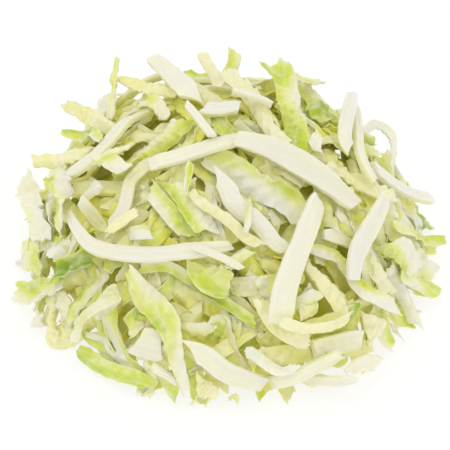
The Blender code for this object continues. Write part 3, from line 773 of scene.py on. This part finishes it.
def lay_placed(placed, draw, heap):
    """A listed shred, laid on the heap and sighted again once its height is known."""
    kind, width, *points = placed
    cut = cut_of(kind, width, draw, END_LIFT)
    line = curve_through(points)
    height = 0
    for _ in range(SIGHTINGS):
        laid = lay(cut, sighted(line, height), heap, PLACED_GAP)
        height = min(unrolled(laid[0])[2].mean(), MOST_SIGHTED)
    return cut, laid


def waves(along, across, size, rng):
    """A crinkle: a few waves that cross the blade at different slants, every second one with sharp crests."""
    height = np.zeros(np.broadcast(along, across).shape)
    for number in range(WAVE_COUNT):
        span = rng.uniform(*WAVE_SPAN)
        slant = rng.normal(0, WAVE_SLANT)
        phase = rng.uniform(0, 2 * math.pi)
        beat = np.sin(2 * math.pi * (along * math.cos(slant) + across * math.sin(slant)) / span + phase)
        height = height + (1 - 2 * np.abs(beat) if number % 2 else beat)
    return height * size / math.sqrt(WAVE_COUNT)


def wavering(length, step, rng):
    """A smooth random line from -1 to 1 with a knot at each step, as a function of the way along."""
    knots = rng.uniform(-1, 1, int(length / step) + 3)
    return lambda along: flowed(knots[:, None], np.clip(along / step, 0, len(knots) - 1.001))[..., 0]


def outline_of(cut, length, a, run, rng):
    """How far along and how far across each point of a blade lies, with cut, pointed or torn ends."""
    about = KINDS[cut["kind"]]
    joined = cut.get("joined", (False, False))
    slants = rng.uniform(-MOST_SLANT, MOST_SLANT, 2) * np.logical_not(joined)
    reach = max(cut["widths"]) / 2
    ragged = wavering(2, RAG_SPAN, rng)
    rag = about["rag"] * MM
    start = reach * SLANT_SHARE * (abs(slants[0]) + slants[0] * a) + rag * (1 + ragged(a + 1))
    finish = length - reach * SLANT_SHARE * (abs(slants[1]) + slants[1] * a) - rag * (1 + ragged(1 - a))
    along = start + (finish - start) * run
    half = spread_over(cut["broad"], along / length) / 2
    half = half * (1 + WIDTH_SWAY[1] * wavering(length, WIDTH_SWAY[0], rng)(along))
    for way, whole in zip((along, length - along), joined):
        tip, tip_run = rng.uniform(*TIP_WIDTH), rng.uniform(*TIP_RUN)
        if whole:
            tip, tip_run = JOIN_WIDTH, JOIN_TAPER
        elif cut["shaped"]:
            tip = SHAPED_TIP_WIDTH
        rise = np.clip(way / tip_run, 0, 1)
        half = half * (tip + (1 - tip) * np.sqrt(rise * (2 - rise)))
    sides = []
    for _ in range(2):
        edge = 1
        for span, depth in EDGE_SPANS:
            edge = edge + depth * min(1, about["frill"] + LEAST_EDGE) * wavering(length, span, rng)(along)
        sides.append(edge)
    return along, a * half * np.where(a < 0, sides[0], sides[1]), half


def relief_of(cut, length, a, along, across, half, rng):
    """How far a blade's middle surface rises at each point: its cup, fold, waves, frill and ridges."""
    about = KINDS[cut["kind"]]
    narrow = np.clip(half / WAVED_HALF_WIDTH, *NARROW_WAVES)
    rise = about["cup"] * half * (a**2 - CUP_LEVEL) * (LEAST_CUP + wavering(length, CUP_SPAN, rng)(along))
    rise = rise + narrow * waves(along, across, about["waves"] * MM, rng)
    for side in (-1, 1):
        span = rng.uniform(*FRILL_SPAN)
        wobble = wavering(length, 2 * span, rng)(along)
        beat = np.sin(2 * math.pi * along / span + FRILL_WOBBLE * wobble + rng.uniform(0, 2 * math.pi))
        height = rng.uniform(*FRILL_SHARE) * about["frill"] * MM * narrow
        rise = rise + height * np.clip(side * a, 0, 1) ** 2 * beat
    if cut["kind"] == "rib":
        sway = wavering(length, FURROW_SPAN, rng)(along)
        for count in [rng.uniform(*numbers) for numbers in FURROWS]:
            furrow = np.sin(2 * math.pi * a * count + sway + rng.uniform(0, FURROW_PHASE))
            rise = rise + FURROW_HEIGHT * furrow / count**0.5
        return rise
    fold = rng.choice(FOLDS)
    crease = rng.uniform(-FOLD_PLACE, FOLD_PLACE) + FOLD_SWAY[1] * wavering(length, FOLD_SWAY[0], rng)(along)
    return rise - fold * half * (np.sqrt((a - crease) ** 2 + FOLD_ROUND) - FOLD_LEVEL)


def leafiness_of(cut, length, a, along, rng):
    """How leafy each point of a blade is: it changes along it, across it and in patches, and a rib's edges
    get painted shade.
    """
    low, high = KINDS[cut["kind"]]["leafy"]
    ends = rng.uniform(0, 1, 2)
    share = ends[0] + (ends[1] - ends[0]) * along / length
    patches = PATCHES[1] * wavering(length, PATCHES[0], rng)(along)
    share = share + patches + TILT_ACROSS * a * rng.uniform(-1, 1)
    share = share + STREAKS[1] * wavering(length, STREAKS[0], rng)(along) * a
    leafy = low + (high - low) * np.clip(share, -PAST_LEAFY, 1 + PAST_LEAFY) + cut.get("leafier", 0)
    edge = np.clip((np.abs(a) - EDGE_START) / EDGE_RUN, 0, 1) ** 2
    # A leaf's edges turn paler; a rib's edges turn leafier, a yellowish painted shade on its side walls.
    return leafy + RIB_EDGE_SHADE * edge if cut["kind"] == "rib" else leafy * (1 - PALE_EDGE * edge)


def blade(cut, laid, grain, rng):
    """The fine blade of a shred: points in rows along and columns right round it, and where each is on it."""
    about = KINDS[cut["kind"]]
    centres, sides, normals = laid
    length = np.linalg.norm(np.diff(centres, axis=0), axis=1).sum()
    run = np.linspace(0, 1, max(LEAST_ROWS, round(length / grain[0])))[:, None]
    a = np.linspace(-1, 1, grain[1])[None, :]
    along, across, half = outline_of(cut, length, a, run, rng)
    rise = relief_of(cut, length, a, along, across, half, rng)
    power = 4 if cut["kind"] == "rib" else 2
    thick = cut["thickness"] * (EDGE_THICKNESS + (1 - EDGE_THICKNESS) * np.sqrt(1 - EDGE_ROUND * a**power))
    if cut["kind"] == "rib":
        thick = thick * rng.uniform(*RIB_THICKNESS_SPREAD)
    thick = thick * np.ones_like(rise)
    for way, whole in zip((along, length - along), cut.get("joined", (False, False))):
        if whole:
            thin = thick * (1 - JOIN_THICKNESS) * (1 - np.clip(way / JOIN_TAPER, 0, 1))
            rise, thick = rise - thin / 2, thick - thin
    stations = along / length * (len(centres) - 1)
    roll = math.radians(about["roll"]) * wavering(length, ROLL_SPAN, rng)(along)[..., None]
    side, normal = flowed(sides, stations), unit(flowed(normals, stations))
    side, normal = turned(side, normal, roll)
    middle = flowed(centres, stations) + side * across[..., None]
    upper = middle + normal * (rise + thick / 2)[..., None]
    lower = middle + normal * (rise - thick / 2)[..., None]
    lower[..., 2] = np.maximum(lower[..., 2], TABLE_GAP)
    upper[..., 2] = np.maximum(upper[..., 2], TABLE_GAP + FOOT_THICKNESS * thick)
    flat = np.stack([along, across, np.full_like(along, rng.uniform(0, PATTERN_SHIFT))], axis=-1)
    leafy = leafiness_of(cut, length, a, along, rng)
    return {
        "points": np.concatenate([upper, lower[:, ::-1]], axis=1),
        "flat": np.concatenate([flat, flat[:, ::-1]], axis=1),
        "leafy": np.concatenate([leafy, leafy[:, ::-1]], axis=1),
        "cream": rng.uniform(*about["cream"]),
        "shade": rng.uniform(*SHADE),
        "kind": cut["kind"],
    }


def strew(draw, heap, least_slope, lengths, widths, lift, gap, most_height):
    """One shred laid by rule, with its measures, or none if it would sink far into what lies there."""
    cut = cut_of(draw.choice(MIX), draw.uniform(*widths), draw, lift, STREWN_TWIST)
    path = strewn_path(draw, heap, draw.uniform(*lengths) * MM, least_slope)
    laid = lay(cut, path, heap, gap, most_height)
    u, v, height = unrolled(laid[0])
    if np.mean(np.maximum(0, heap.height(u, v) - height)) > MOST_SUNK:
        return None
    laid[0][:, 2] = np.maximum(laid[0][:, 2], TABLE_GAP + cut["thickness"] / 2)
    return cut, laid


def goes_on(end):
    """Whether a large shred's end meets another's end: the two are one long shred, placed in two parts."""
    ends = [point for _, _, *points in PLACED for point in (points[0], points[-1])]
    return sum(math.dist(end, other) < JOIN_REACH for other in ends) > 1


def large_shreds():
    """The large shreds, laid where their solids are: name, measures and frames."""
    counts = dict.fromkeys(KINDS, 0)
    for table in (BACK, PLACED):
        for number, row in enumerate(table):
            kind, width, *rest = row
            counts[kind] += 1
            name = f"{kind}_shred_{counts[kind]:02d}"
            if table is BACK:
                tilt, around, heading, length, bend = rest
                angles = [math.radians(angle) for angle in (tilt, around, heading)]
                rays = rays_above(mapped_path(*angles, length * MM, bend, BACK_STATIONS))
            else:
                rays = [sight_ray(*point) for point in curve_through(rest)]
            cut = cut_of(kind, width, random.Random(number), 0)
            cut["leafier"] = LEAFIER.get(name, 0)
            if table is PLACED:
                cut["joined"] = (goes_on(rest[0]), goes_on(rest[-1]))
            yield name, cut, laid_on_solid(name, rays, 0 if kind == "rib" else FACING)


def lay_heap(shape):
    """All the shreds, each as group name, shred name or none, and fine blade; and the heap's skin.

    The large shreds are a ceiling first, under which the bed, its cover and its placed shreds are laid. The
    small shreds and the scraps then lie over all of them.
    """
    heap = HeapMap()
    shreds = []

    def add(group, name, cut, laid, grain):
        heap.cover(face_of(cut, laid, 1))
        shred = blade(cut, laid, grain, np.random.default_rng(len(shreds)))
        # How much painted shade the shred's lowest points get.
        shred["most_deep"] = MOST_PAINTED_SHADE.get(group, LARGE_MOST_PAINTED_SHADE)
        if group.startswith("bed"):
            heap.press(shred["points"])
        shreds.append((group, name, shred))

    def strew_all(layer, slopes, groups):
        seed, *measures = layer
        draw = random.Random(seed)
        for number, slope in enumerate(slopes):
            strewn = strew(draw, heap, math.radians(slope), *measures)
            if strewn:
                add(groups[number * len(groups) // len(slopes)], None, *strewn, STREWN_GRAIN)

    def place_all(table, seed, group):
        for number, placed in enumerate(table):
            add(group, None, *lay_placed(placed, random.Random(seed + number), heap), PLACED_GRAIN)

    large = list(large_shreds())
    for _, cut, laid in large:
        heap.hang(face_of(cut, laid, -1) - unit(laid[0][0] - DOME_CENTRE) * UNDER_GAP)
    slopes = [slope for slope, count in BED_BANDS for _ in range(round(count * shape.bed_share))]
    strew_all(BED, slopes, ("bed_low", "bed_high"))
    strew_all(COVER, [0] * shape.cover_count, ("bed_cover",))
    place_all(BED_PLACED, BED_PLACED_SEED, "bed_placed")
    for name, cut, laid in large:
        add(f"{cut['kind']}_shreds", name, cut, laid, PLACED_GRAIN)
    heap.ceiling[:] = np.inf
    place_all(SMALL_PLACED, SMALL_PLACED_SEED, "small_shreds")
    strew_all(SCRAPS, [0] * shape.scrap_count, ("scraps",))
    return shreds, heap.skin()


LAID = {}


def laid_heap():
    """The laid heap, worked out once."""
    if not LAID:
        LAID["shreds"], LAID["skin"] = lay_heap(bpy.context.scene.cabbage_shape)
    return LAID["shreds"], LAID["skin"]


def colours_of(shred, skin, look):
    """Each point's colour: greener where leafy, creamier at the heart, and turned to painted shade lower in
    the heap.
    """
    steps = np.array([look.flesh, look.pale, look.lime, look.green, look.dark_green])
    leafy = np.clip(shred["leafy"], 0, 1)
    colour = np.stack([np.interp(leafy, np.linspace(0, 1, 5), steps[:, i]) for i in range(3)], axis=-1)
    cream = shred["cream"] * np.clip(1 - leafy, 0, 1)[..., None]
    colour = colour * (1 - cream) + np.array(look.cream) * cream
    u, v, height = unrolled(shred["points"])
    # Painted shade: the further a point lies under the skin, the more its colour turns to the yellow of the
    # shaded crevices.
    deep = np.clip((skin.height(u, v) - height - PAINTED_SHADE_START) / (PAINTED_SHADE_END - PAINTED_SHADE_START), 0, 1)
    deep = shred["most_deep"] * (deep * deep * (3 - 2 * deep))[..., None]
    return np.clip((colour * (1 - deep) + np.array(look.deep) * deep) * shred["shade"], 0, 1)


def blade_quads(rows, round_columns):
    """The faces of a blade whose rows run right round it, with both its ends closed."""
    row, column = np.meshgrid(np.arange(rows - 1), np.arange(round_columns), indexing="ij")
    after = (column + 1) % round_columns
    here, there = row * round_columns, (row + 1) * round_columns
    wall = np.stack([here + column, here + after, there + after, there + column], axis=-1).reshape(-1, 4)
    columns = round_columns // 2
    j = np.arange(columns - 1)
    near = np.stack([round_columns - 1 - j, round_columns - 2 - j, j + 1, j], axis=-1)
    far = near[:, ::-1] + (rows - 1) * round_columns
    return np.concatenate([wall, near, far])


def strip_uv(rows, round_columns, cell):
    """Where each corner of a blade's faces lies in its own cell of the picture plane."""
    low_u, low_v, size_u, size_v = cell
    row, column = np.meshgrid(np.arange(rows - 1), np.arange(round_columns), indexing="ij")
    corner_u = np.stack([row, row, row + 1, row + 1], axis=-1) / (rows - 1)
    corner_v = np.stack([column, column + 1, column + 1, column], axis=-1) / round_columns
    wall = np.stack([corner_u * UV_WALL[1] + UV_WALL[0], corner_v], axis=-1).reshape(-1, 4, 2)
    columns = round_columns // 2
    j = np.arange(columns - 1)
    across = np.stack([j, j + 1, j + 1, j], axis=-1) / (columns - 1)
    near, far = (
        np.stack([np.tile([start, start, start + UV_END, start + UV_END], (columns - 1, 1)), across], axis=-1)
        for start in (0, 1 - UV_END)
    )
    uv = np.concatenate([wall, near, far])
    return uv * (size_u * (1 - UV_MARGIN), size_v * (1 - UV_MARGIN)) + (low_u, low_v)


def added(name, data):
    """An object made from its data and put in the scene."""
    thing = bpy.data.objects.new(name, data)
    bpy.context.scene.collection.objects.link(thing)
    return thing


def colour_points(mesh, colours, places):
    """Gives each point of a mesh its colour, and its place in the patterns."""
    tint = mesh.attributes.new("tint", "FLOAT_COLOR", "POINT")
    rgba = np.concatenate([colours, np.ones((len(colours), 1))], axis=1)
    tint.data.foreach_set("color", rgba.astype(np.float32).ravel())
    flat = mesh.attributes.new("flat", "FLOAT_VECTOR", "POINT")
    flat.data.foreach_set("vector", np.asarray(places, np.float32).ravel())


def shreds_object(name, shreds, looks):
    """One object from fine blades, with each point's colour and its place on its own blade."""
    skin, look = laid_heap()[1], bpy.context.scene.cabbage_look
    points, quads, tints, flats, uvs, finishes = [], [], [], [], [], []
    per_side = math.ceil(math.sqrt(len(shreds)))
    base = 0
    for number, shred in enumerate(shreds):
        rows, round_columns = shred["points"].shape[:2]
        faces = blade_quads(rows, round_columns)
        cell = (number % per_side / per_side, number // per_side / per_side, 1 / per_side, 1 / per_side)
        points.append(shred["points"].reshape(-1, 3))
        tints.append(colours_of(shred, skin, look).reshape(-1, 3))
        flats.append(shred["flat"].reshape(-1, 3))
        uvs.append(strip_uv(rows, round_columns, cell).reshape(-1, 2))
        quads.append(faces + base)
        finishes.append(np.full(len(faces), 0 if shred["kind"] == "rib" else 1))
        base += rows * round_columns
    points, quads = np.concatenate(points), np.concatenate(quads)
    mesh = bpy.data.meshes.new(name)
    mesh.vertices.add(len(points))
    mesh.vertices.foreach_set("co", points.astype(np.float32).ravel())
    mesh.loops.add(quads.size)
    mesh.loops.foreach_set("vertex_index", quads.astype(np.int32).ravel())
    mesh.polygons.add(len(quads))
    mesh.polygons.foreach_set("loop_start", np.arange(0, quads.size, 4, dtype=np.int32))
    mesh.polygons.foreach_set("use_smooth", np.ones(len(quads), bool))
    for finish in looks:
        mesh.materials.append(finish)
    mesh.polygons.foreach_set("material_index", np.concatenate(finishes).astype(np.int32))
    mesh.update(calc_edges=True)
    mesh.set_sharp_from_angle(angle=SHARP_ANGLE)
    colour_points(mesh, np.concatenate(tints), np.concatenate(flats))
    layer = mesh.uv_layers.new(name="OFBake")
    layer.uv.foreach_set("vector", np.concatenate(uvs).astype(np.float32).ravel())
    return added(name, mesh)


def add_node(tree, kind, inputs=None, **settings):
    """A shader node with its settings made and its inputs set or linked."""
    node = tree.nodes.new(kind)
    for name, value in settings.items():
        setattr(node, name, value)
    for name, value in (inputs or {}).items():
        if isinstance(value, bpy.types.NodeSocket):
            tree.links.new(value, node.inputs[name])
        else:
            node.inputs[name].default_value = value
    return node


def mapped(tree, value, low, high, to_low, to_high):
    """A value carried evenly from one range to another, and held at its ends."""
    inputs = {"Value": value, "From Min": low, "From Max": high, "To Min": to_low, "To Max": to_high}
    return add_node(tree, "ShaderNodeMapRange", inputs).outputs["Result"]


def mixed(tree, share, first, second, blend="MIX"):
    """One colour mixed into another."""
    node = add_node(tree, "ShaderNodeMix", data_type="RGBA", blend_type=blend)
    sockets = {"Factor_Float": share, "A_Color": first, "B_Color": second}
    for socket in node.inputs:
        if socket.identifier in sockets:
            value = sockets[socket.identifier]
            if isinstance(value, bpy.types.NodeSocket):
                tree.links.new(value, socket)
            else:
                socket.default_value = value
    return next(socket for socket in node.outputs if socket.identifier == "Result_Color")


def stretched(tree, place, scale):
    """A blade's own coordinates drawn out, so that a pattern runs along it."""
    node = add_node(tree, "ShaderNodeVectorMath", operation="MULTIPLY")
    tree.links.new(place, node.inputs[0])
    node.inputs[1].default_value = scale
    return node.outputs[0]


def noise(tree, place, scale, detail):
    """A soft random pattern over a blade's own coordinates."""
    inputs = {"Vector": stretched(tree, place, scale), "Scale": 1, "Detail": detail}
    return add_node(tree, "ShaderNodeTexNoise", inputs).outputs["Fac"]


def finish_surface(tree, surface, colour, level, bump):
    """Gives a surface its colour, lighter or darker by a level, and its bump: strength, height, pattern."""
    grey = add_node(tree, "ShaderNodeCombineColor", {"Red": level, "Green": level, "Blue": level})
    tree.links.new(mixed(tree, 1, colour, grey.outputs["Color"], "MULTIPLY"), surface.inputs["Base Color"])
    inputs = dict(zip(("Strength", "Distance", "Height"), bump))
    tree.links.new(add_node(tree, "ShaderNodeBump", inputs).outputs["Normal"], surface.inputs["Normal"])


def base_material(name, look, softness, reach):
    """A moist, slightly see-through plant tissue with nothing yet on its colour and bump."""
    material = bpy.data.materials.new(name)
    material.use_nodes = True
    tree = material.node_tree
    surface = tree.nodes["Principled BSDF"]
    surface.inputs["Roughness"].default_value = look.roughness
    surface.inputs["IOR"].default_value = REFRACTION
    surface.inputs["Subsurface Weight"].default_value = softness
    surface.inputs["Subsurface Radius"].default_value = SCATTER
    surface.inputs["Subsurface Scale"].default_value = reach
    tint = add_node(tree, "ShaderNodeAttribute", attribute_name="tint").outputs["Color"]
    flat = add_node(tree, "ShaderNodeAttribute", attribute_name="flat").outputs["Vector"]
    return material, tree, surface, tint, flat


def flesh_material(look):
    """White rib flesh: fine fibres along it, and duller bands where it is wet and clear."""
    material, tree, surface, tint, flat = base_material("rib_flesh", look, *RIB_DEPTH)
    fibres = noise(tree, flat, FIBRES, 3)
    bands = noise(tree, flat, CLEAR_BANDS, 2)
    clear = mixed(tree, mapped(tree, bands, *CLEAR_SHARE), tint, (*look.wet_flesh, 1))
    finish_surface(tree, surface, clear, mapped(tree, fibres, *FIBRE_LEVEL), (*RIB_BUMP, fibres))
    return material


def leaf_material(look):
    """Leaf blade: pale streaks along it, soft patches, and a faint net of raised veins."""
    material, tree, surface, tint, flat = base_material("leaf_blade", look, *LEAF_DEPTH)
    net = stretched(tree, flat, VEIN_NET)
    cells = add_node(tree, "ShaderNodeTexVoronoi", {"Vector": net, "Scale": 1}, feature="DISTANCE_TO_EDGE")
    vein = mapped(tree, cells.outputs["Distance"], *VEIN_WIDTH)
    streaks = noise(tree, flat, PALE_STREAKS, 3)
    mottle = noise(tree, flat, MOTTLE, 4)
    streaked = mixed(tree, mapped(tree, streaks, *STREAK_SHARE), tint, (*look.vein, 1))
    veined = mixed(tree, mapped(tree, vein, *VEIN_SHARE), streaked, (*look.vein, 1))
    relief = add_node(tree, "ShaderNodeMath", operation="MULTIPLY_ADD")
    tree.links.new(vein, relief.inputs[0])
    relief.inputs[1].default_value = VEIN_HEIGHT
    tree.links.new(mottle, relief.inputs[2])
    bump = (*LEAF_BUMP, relief.outputs[0])
    finish_surface(tree, surface, veined, mapped(tree, mottle, *MOTTLE_LEVEL), bump)
    return material


def looks():
    """The two finishes of the heap, made once: rib flesh and leaf blade."""
    look = bpy.context.scene.cabbage_look
    made = bpy.data.materials
    flesh = made["rib_flesh"] if "rib_flesh" in made else flesh_material(look)
    leaf = made["leaf_blade"] if "leaf_blade" in made else leaf_material(look)
    return flesh, leaf


def middle_mesh():
    """A dome with a rough skin, at the depth that the bed starts at, all of it in the painted shade colour.
    """
    radius = TOP_RADIUS - BED_DEPTH
    foot_tilt = math.acos(-TOP_CENTRE_HEIGHT / radius)
    rng = np.random.default_rng(MIDDLE_SEED)
    points = [(0, 0, TOP_CENTRE_HEIGHT + radius)]
    for tilt in foot_tilt * np.arange(1, MIDDLE_RINGS + 1) / MIDDLE_RINGS:
        for around in np.arange(MIDDLE_SIDES) * 2 * math.pi / MIDDLE_SIDES:
            sunk = radius - rng.uniform(0, MIDDLE_ROUGHNESS) * MM
            out, up = sunk * math.sin(tilt), max(0, TOP_CENTRE_HEIGHT + sunk * math.cos(tilt))
            points.append((out * math.cos(around), out * math.sin(around), up))
    rings = np.arange(1, len(points)).reshape(MIDDLE_RINGS, MIDDLE_SIDES)
    rings, after = rings.tolist(), np.roll(rings, -1, axis=1).tolist()
    faces = [(0, i, j) for i, j in zip(rings[0], after[0])]
    for ring in range(MIDDLE_RINGS - 1):
        faces += zip(rings[ring], rings[ring + 1], after[ring + 1], after[ring])
    faces.append(tuple(reversed(rings[-1])))
    mesh = bpy.data.meshes.new("packed_middle")
    mesh.from_pydata(points, [], faces)
    # The middle only shows between shreds, so it is painted all over in the shade colour of the crevices.
    colour_points(mesh, np.tile(bpy.context.scene.cabbage_look.deep, (len(points), 1)), points)
    return mesh


def make_large(kind):
    """Each large shred of a kind, in the place of its solid."""
    for group, name, shred in laid_heap()[0]:
        if group == f"{kind}_shreds":
            thing = shreds_object(f"{name}_blade", [shred], looks())
            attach(thing, "root")
            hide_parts(name)


class CabbageShape(bpy.types.PropertyGroup):
    """How much of the heap is laid."""

    bed_share: bpy.props.FloatProperty(
        name="Bed", description="Share of the bed's strewn shreds to lay", default=1.0, subtype="FACTOR"
    )
    cover_count: bpy.props.IntProperty(
        name="Cover", description="Shreds strewn over the bed", default=COVER_COUNT
    )
    scrap_count: bpy.props.IntProperty(
        name="Scraps", description="Small scraps strewn over the heap", default=SCRAP_COUNT
    )


def colour_property(name, description, default):
    return bpy.props.FloatVectorProperty(
        name=name, description=description, default=default, subtype="COLOR", size=3, min=0, max=1
    )


class CabbageLook(bpy.types.PropertyGroup):
    """The heap's colours and finish."""

    flesh: colour_property("Flesh", "White rib flesh", (0.86, 0.855, 0.82))
    pale: colour_property("Pale", "Palest leaf", (0.89, 0.885, 0.67))
    lime: colour_property("Lime", "Light green leaf", (0.71, 0.79, 0.11))
    green: colour_property("Green", "Green leaf", (0.48, 0.62, 0.06))
    dark_green: colour_property("Dark green", "Outermost leaf", (0.26, 0.39, 0.02))
    cream: colour_property("Cream", "Heart leaf", (0.92, 0.885, 0.42))
    # Painted shade: the warm yellow of the shaded crevices, taken on by points far under the skin and by the
    # packed middle.
    deep: colour_property("Deep", "What a shred's colour turns to deep in the heap", (0.91, 0.89, 0.13))
    vein: colour_property("Veins", "Veins of a leaf", (0.90, 0.89, 0.70))
    wet_flesh: colour_property("Wet flesh", "Clear bands in a rib", (0.83, 0.81, 0.70))
    roughness: bpy.props.FloatProperty(
        name="Roughness", description="How dull the moist surfaces are", default=0.42, subtype="FACTOR"
    )


class CABBAGE_OT_bed(bpy.types.Operator):
    """Make the strewn shreds of the bed, under and between the large ones"""

    bl_idname = "cabbage.bed"
    bl_label = "Bed of shreds"

    def execute(self, context):
        for group in ("bed_low", "bed_high", "bed_placed", "bed_cover", "small_shreds", "scraps"):
            shreds = [shred for laid_group, _, shred in laid_heap()[0] if laid_group == group]
            thing = shreds_object(group, shreds, looks())
            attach(thing, "root")
            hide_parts("shred_bed")
        return {"FINISHED"}


class CABBAGE_OT_middle(bpy.types.Operator):
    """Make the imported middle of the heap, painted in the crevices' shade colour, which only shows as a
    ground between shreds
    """

    bl_idname = "cabbage.middle"
    bl_label = "Packed middle"

    def execute(self, context):
        mesh = middle_mesh()
        mesh.materials.append(looks()[1])
        thing = added("packed_middle", mesh)
        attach(thing, "root")
        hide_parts("shred_bed")
        return {"FINISHED"}


class MakesLarge:
    """An operator that makes the large shreds of its kind."""

    def execute(self, context):
        make_large(self.kind)
        return {"FINISHED"}


class CABBAGE_OT_ribs(MakesLarge, bpy.types.Operator):
    """Make the large white rib shreds"""

    bl_idname = "cabbage.ribs"
    bl_label = "Rib shreds"
    kind = "rib"


class CABBAGE_OT_hearts(MakesLarge, bpy.types.Operator):
    """Make the large cream shreds from the heart"""

    bl_idname = "cabbage.hearts"
    bl_label = "Heart shreds"
    kind = "heart"


class CABBAGE_OT_leaves(MakesLarge, bpy.types.Operator):
    """Make the large pale leaf shreds"""

    bl_idname = "cabbage.leaves"
    bl_label = "Leaf shreds"
    kind = "leaf"


class CABBAGE_OT_greens(MakesLarge, bpy.types.Operator):
    """Make the large green shreds from the outer leaves"""

    bl_idname = "cabbage.greens"
    bl_label = "Green shreds"
    kind = "green"


class CABBAGE_OT_stage(bpy.types.Operator):
    """Set up the white table, the soft light and the camera"""

    bl_idname = "cabbage.stage"
    bl_label = "Stage"

    def execute(self, context):
        scene = context.scene
        mesh = bpy.data.meshes.new("table")
        corners = [(x * TABLE_REACH, y * TABLE_REACH, 0) for x, y in ((-1, -1), (1, -1), (1, 1), (-1, 1))]
        mesh.from_pydata(corners, [], [(0, 1, 2, 3)])
        table = added("table", mesh)
        white = bpy.data.materials.new("white_table")
        white.use_nodes = True
        for name, value in TABLE_FINISH.items():
            white.node_tree.nodes["Principled BSDF"].inputs[name].default_value = value
        mesh.materials.append(white)

        world = bpy.data.worlds.new("soft_room")
        world.use_nodes = True
        world.node_tree.nodes["Background"].inputs["Color"].default_value = ROOM_COLOUR
        world.node_tree.nodes["Background"].inputs["Strength"].default_value = ROOM_STRENGTH
        scene.world = world
        for name, place, size, power in LAMPS:
            light = bpy.data.lights.new(name, "AREA")
            light.size = size
            light.energy = power
            lamp = added(name, light)
            lamp.location = place
            lamp.rotation_euler = (LAMP_AIM - Vector(place)).to_track_quat("-Z", "Y").to_euler()

        toward, _, _ = sight_axes()
        camera = bpy.data.cameras.new("camera")
        camera.angle = 2 * math.atan(GRID_LINES * GRID_STEP / 2 / SIGHT_DISTANCE)
        camera.clip_start, camera.clip_end = CLIP
        eye = added("camera", camera)
        eye.location = Vector(SIGHT_AIM - toward * SIGHT_DISTANCE)
        eye.rotation_euler = Vector(toward).to_track_quat("-Z", "Y").to_euler()
        scene.camera = eye
        scene.view_settings.view_transform = "Standard"
        scene.cycles.diffuse_bounces = DIFFUSE_BOUNCES
        return {"FINISHED"}


class CABBAGE_PT_panel(bpy.types.Panel):
    """Lists the heap's pieces and their settings"""

    bl_label = "Shredded cabbage"
    bl_idname = "CABBAGE_PT_panel"
    bl_space_type = "VIEW_3D"
    bl_region_type = "UI"
    bl_category = "Cabbage"

    def draw(self, context):
        for group in (context.scene.cabbage_shape, context.scene.cabbage_look):
            for name in group.__annotations__:
                self.layout.prop(group, name)
        for operator in OPERATORS:
            self.layout.operator(operator.bl_idname)


OPERATORS = (
    CABBAGE_OT_middle,
    CABBAGE_OT_bed,
    CABBAGE_OT_ribs,
    CABBAGE_OT_hearts,
    CABBAGE_OT_leaves,
    CABBAGE_OT_greens,
    CABBAGE_OT_stage,
)
CLASSES = (CabbageShape, CabbageLook, *OPERATORS, CABBAGE_PT_panel)


def register():
    for each in CLASSES:
        bpy.utils.register_class(each)
    bpy.types.Scene.cabbage_shape = bpy.props.PointerProperty(type=CabbageShape)
    bpy.types.Scene.cabbage_look = bpy.props.PointerProperty(type=CabbageLook)


def unregister():
    del bpy.types.Scene.cabbage_look
    del bpy.types.Scene.cabbage_shape
    for each in reversed(CLASSES):
        bpy.utils.unregister_class(each)


def main():
    register()
    bpy.ops.cabbage.middle()
    bpy.ops.cabbage.bed()
    bpy.ops.cabbage.ribs()
    bpy.ops.cabbage.hearts()
    bpy.ops.cabbage.leaves()
    bpy.ops.cabbage.greens()
    bpy.ops.cabbage.stage()


if __name__ == "__main__":
    main()
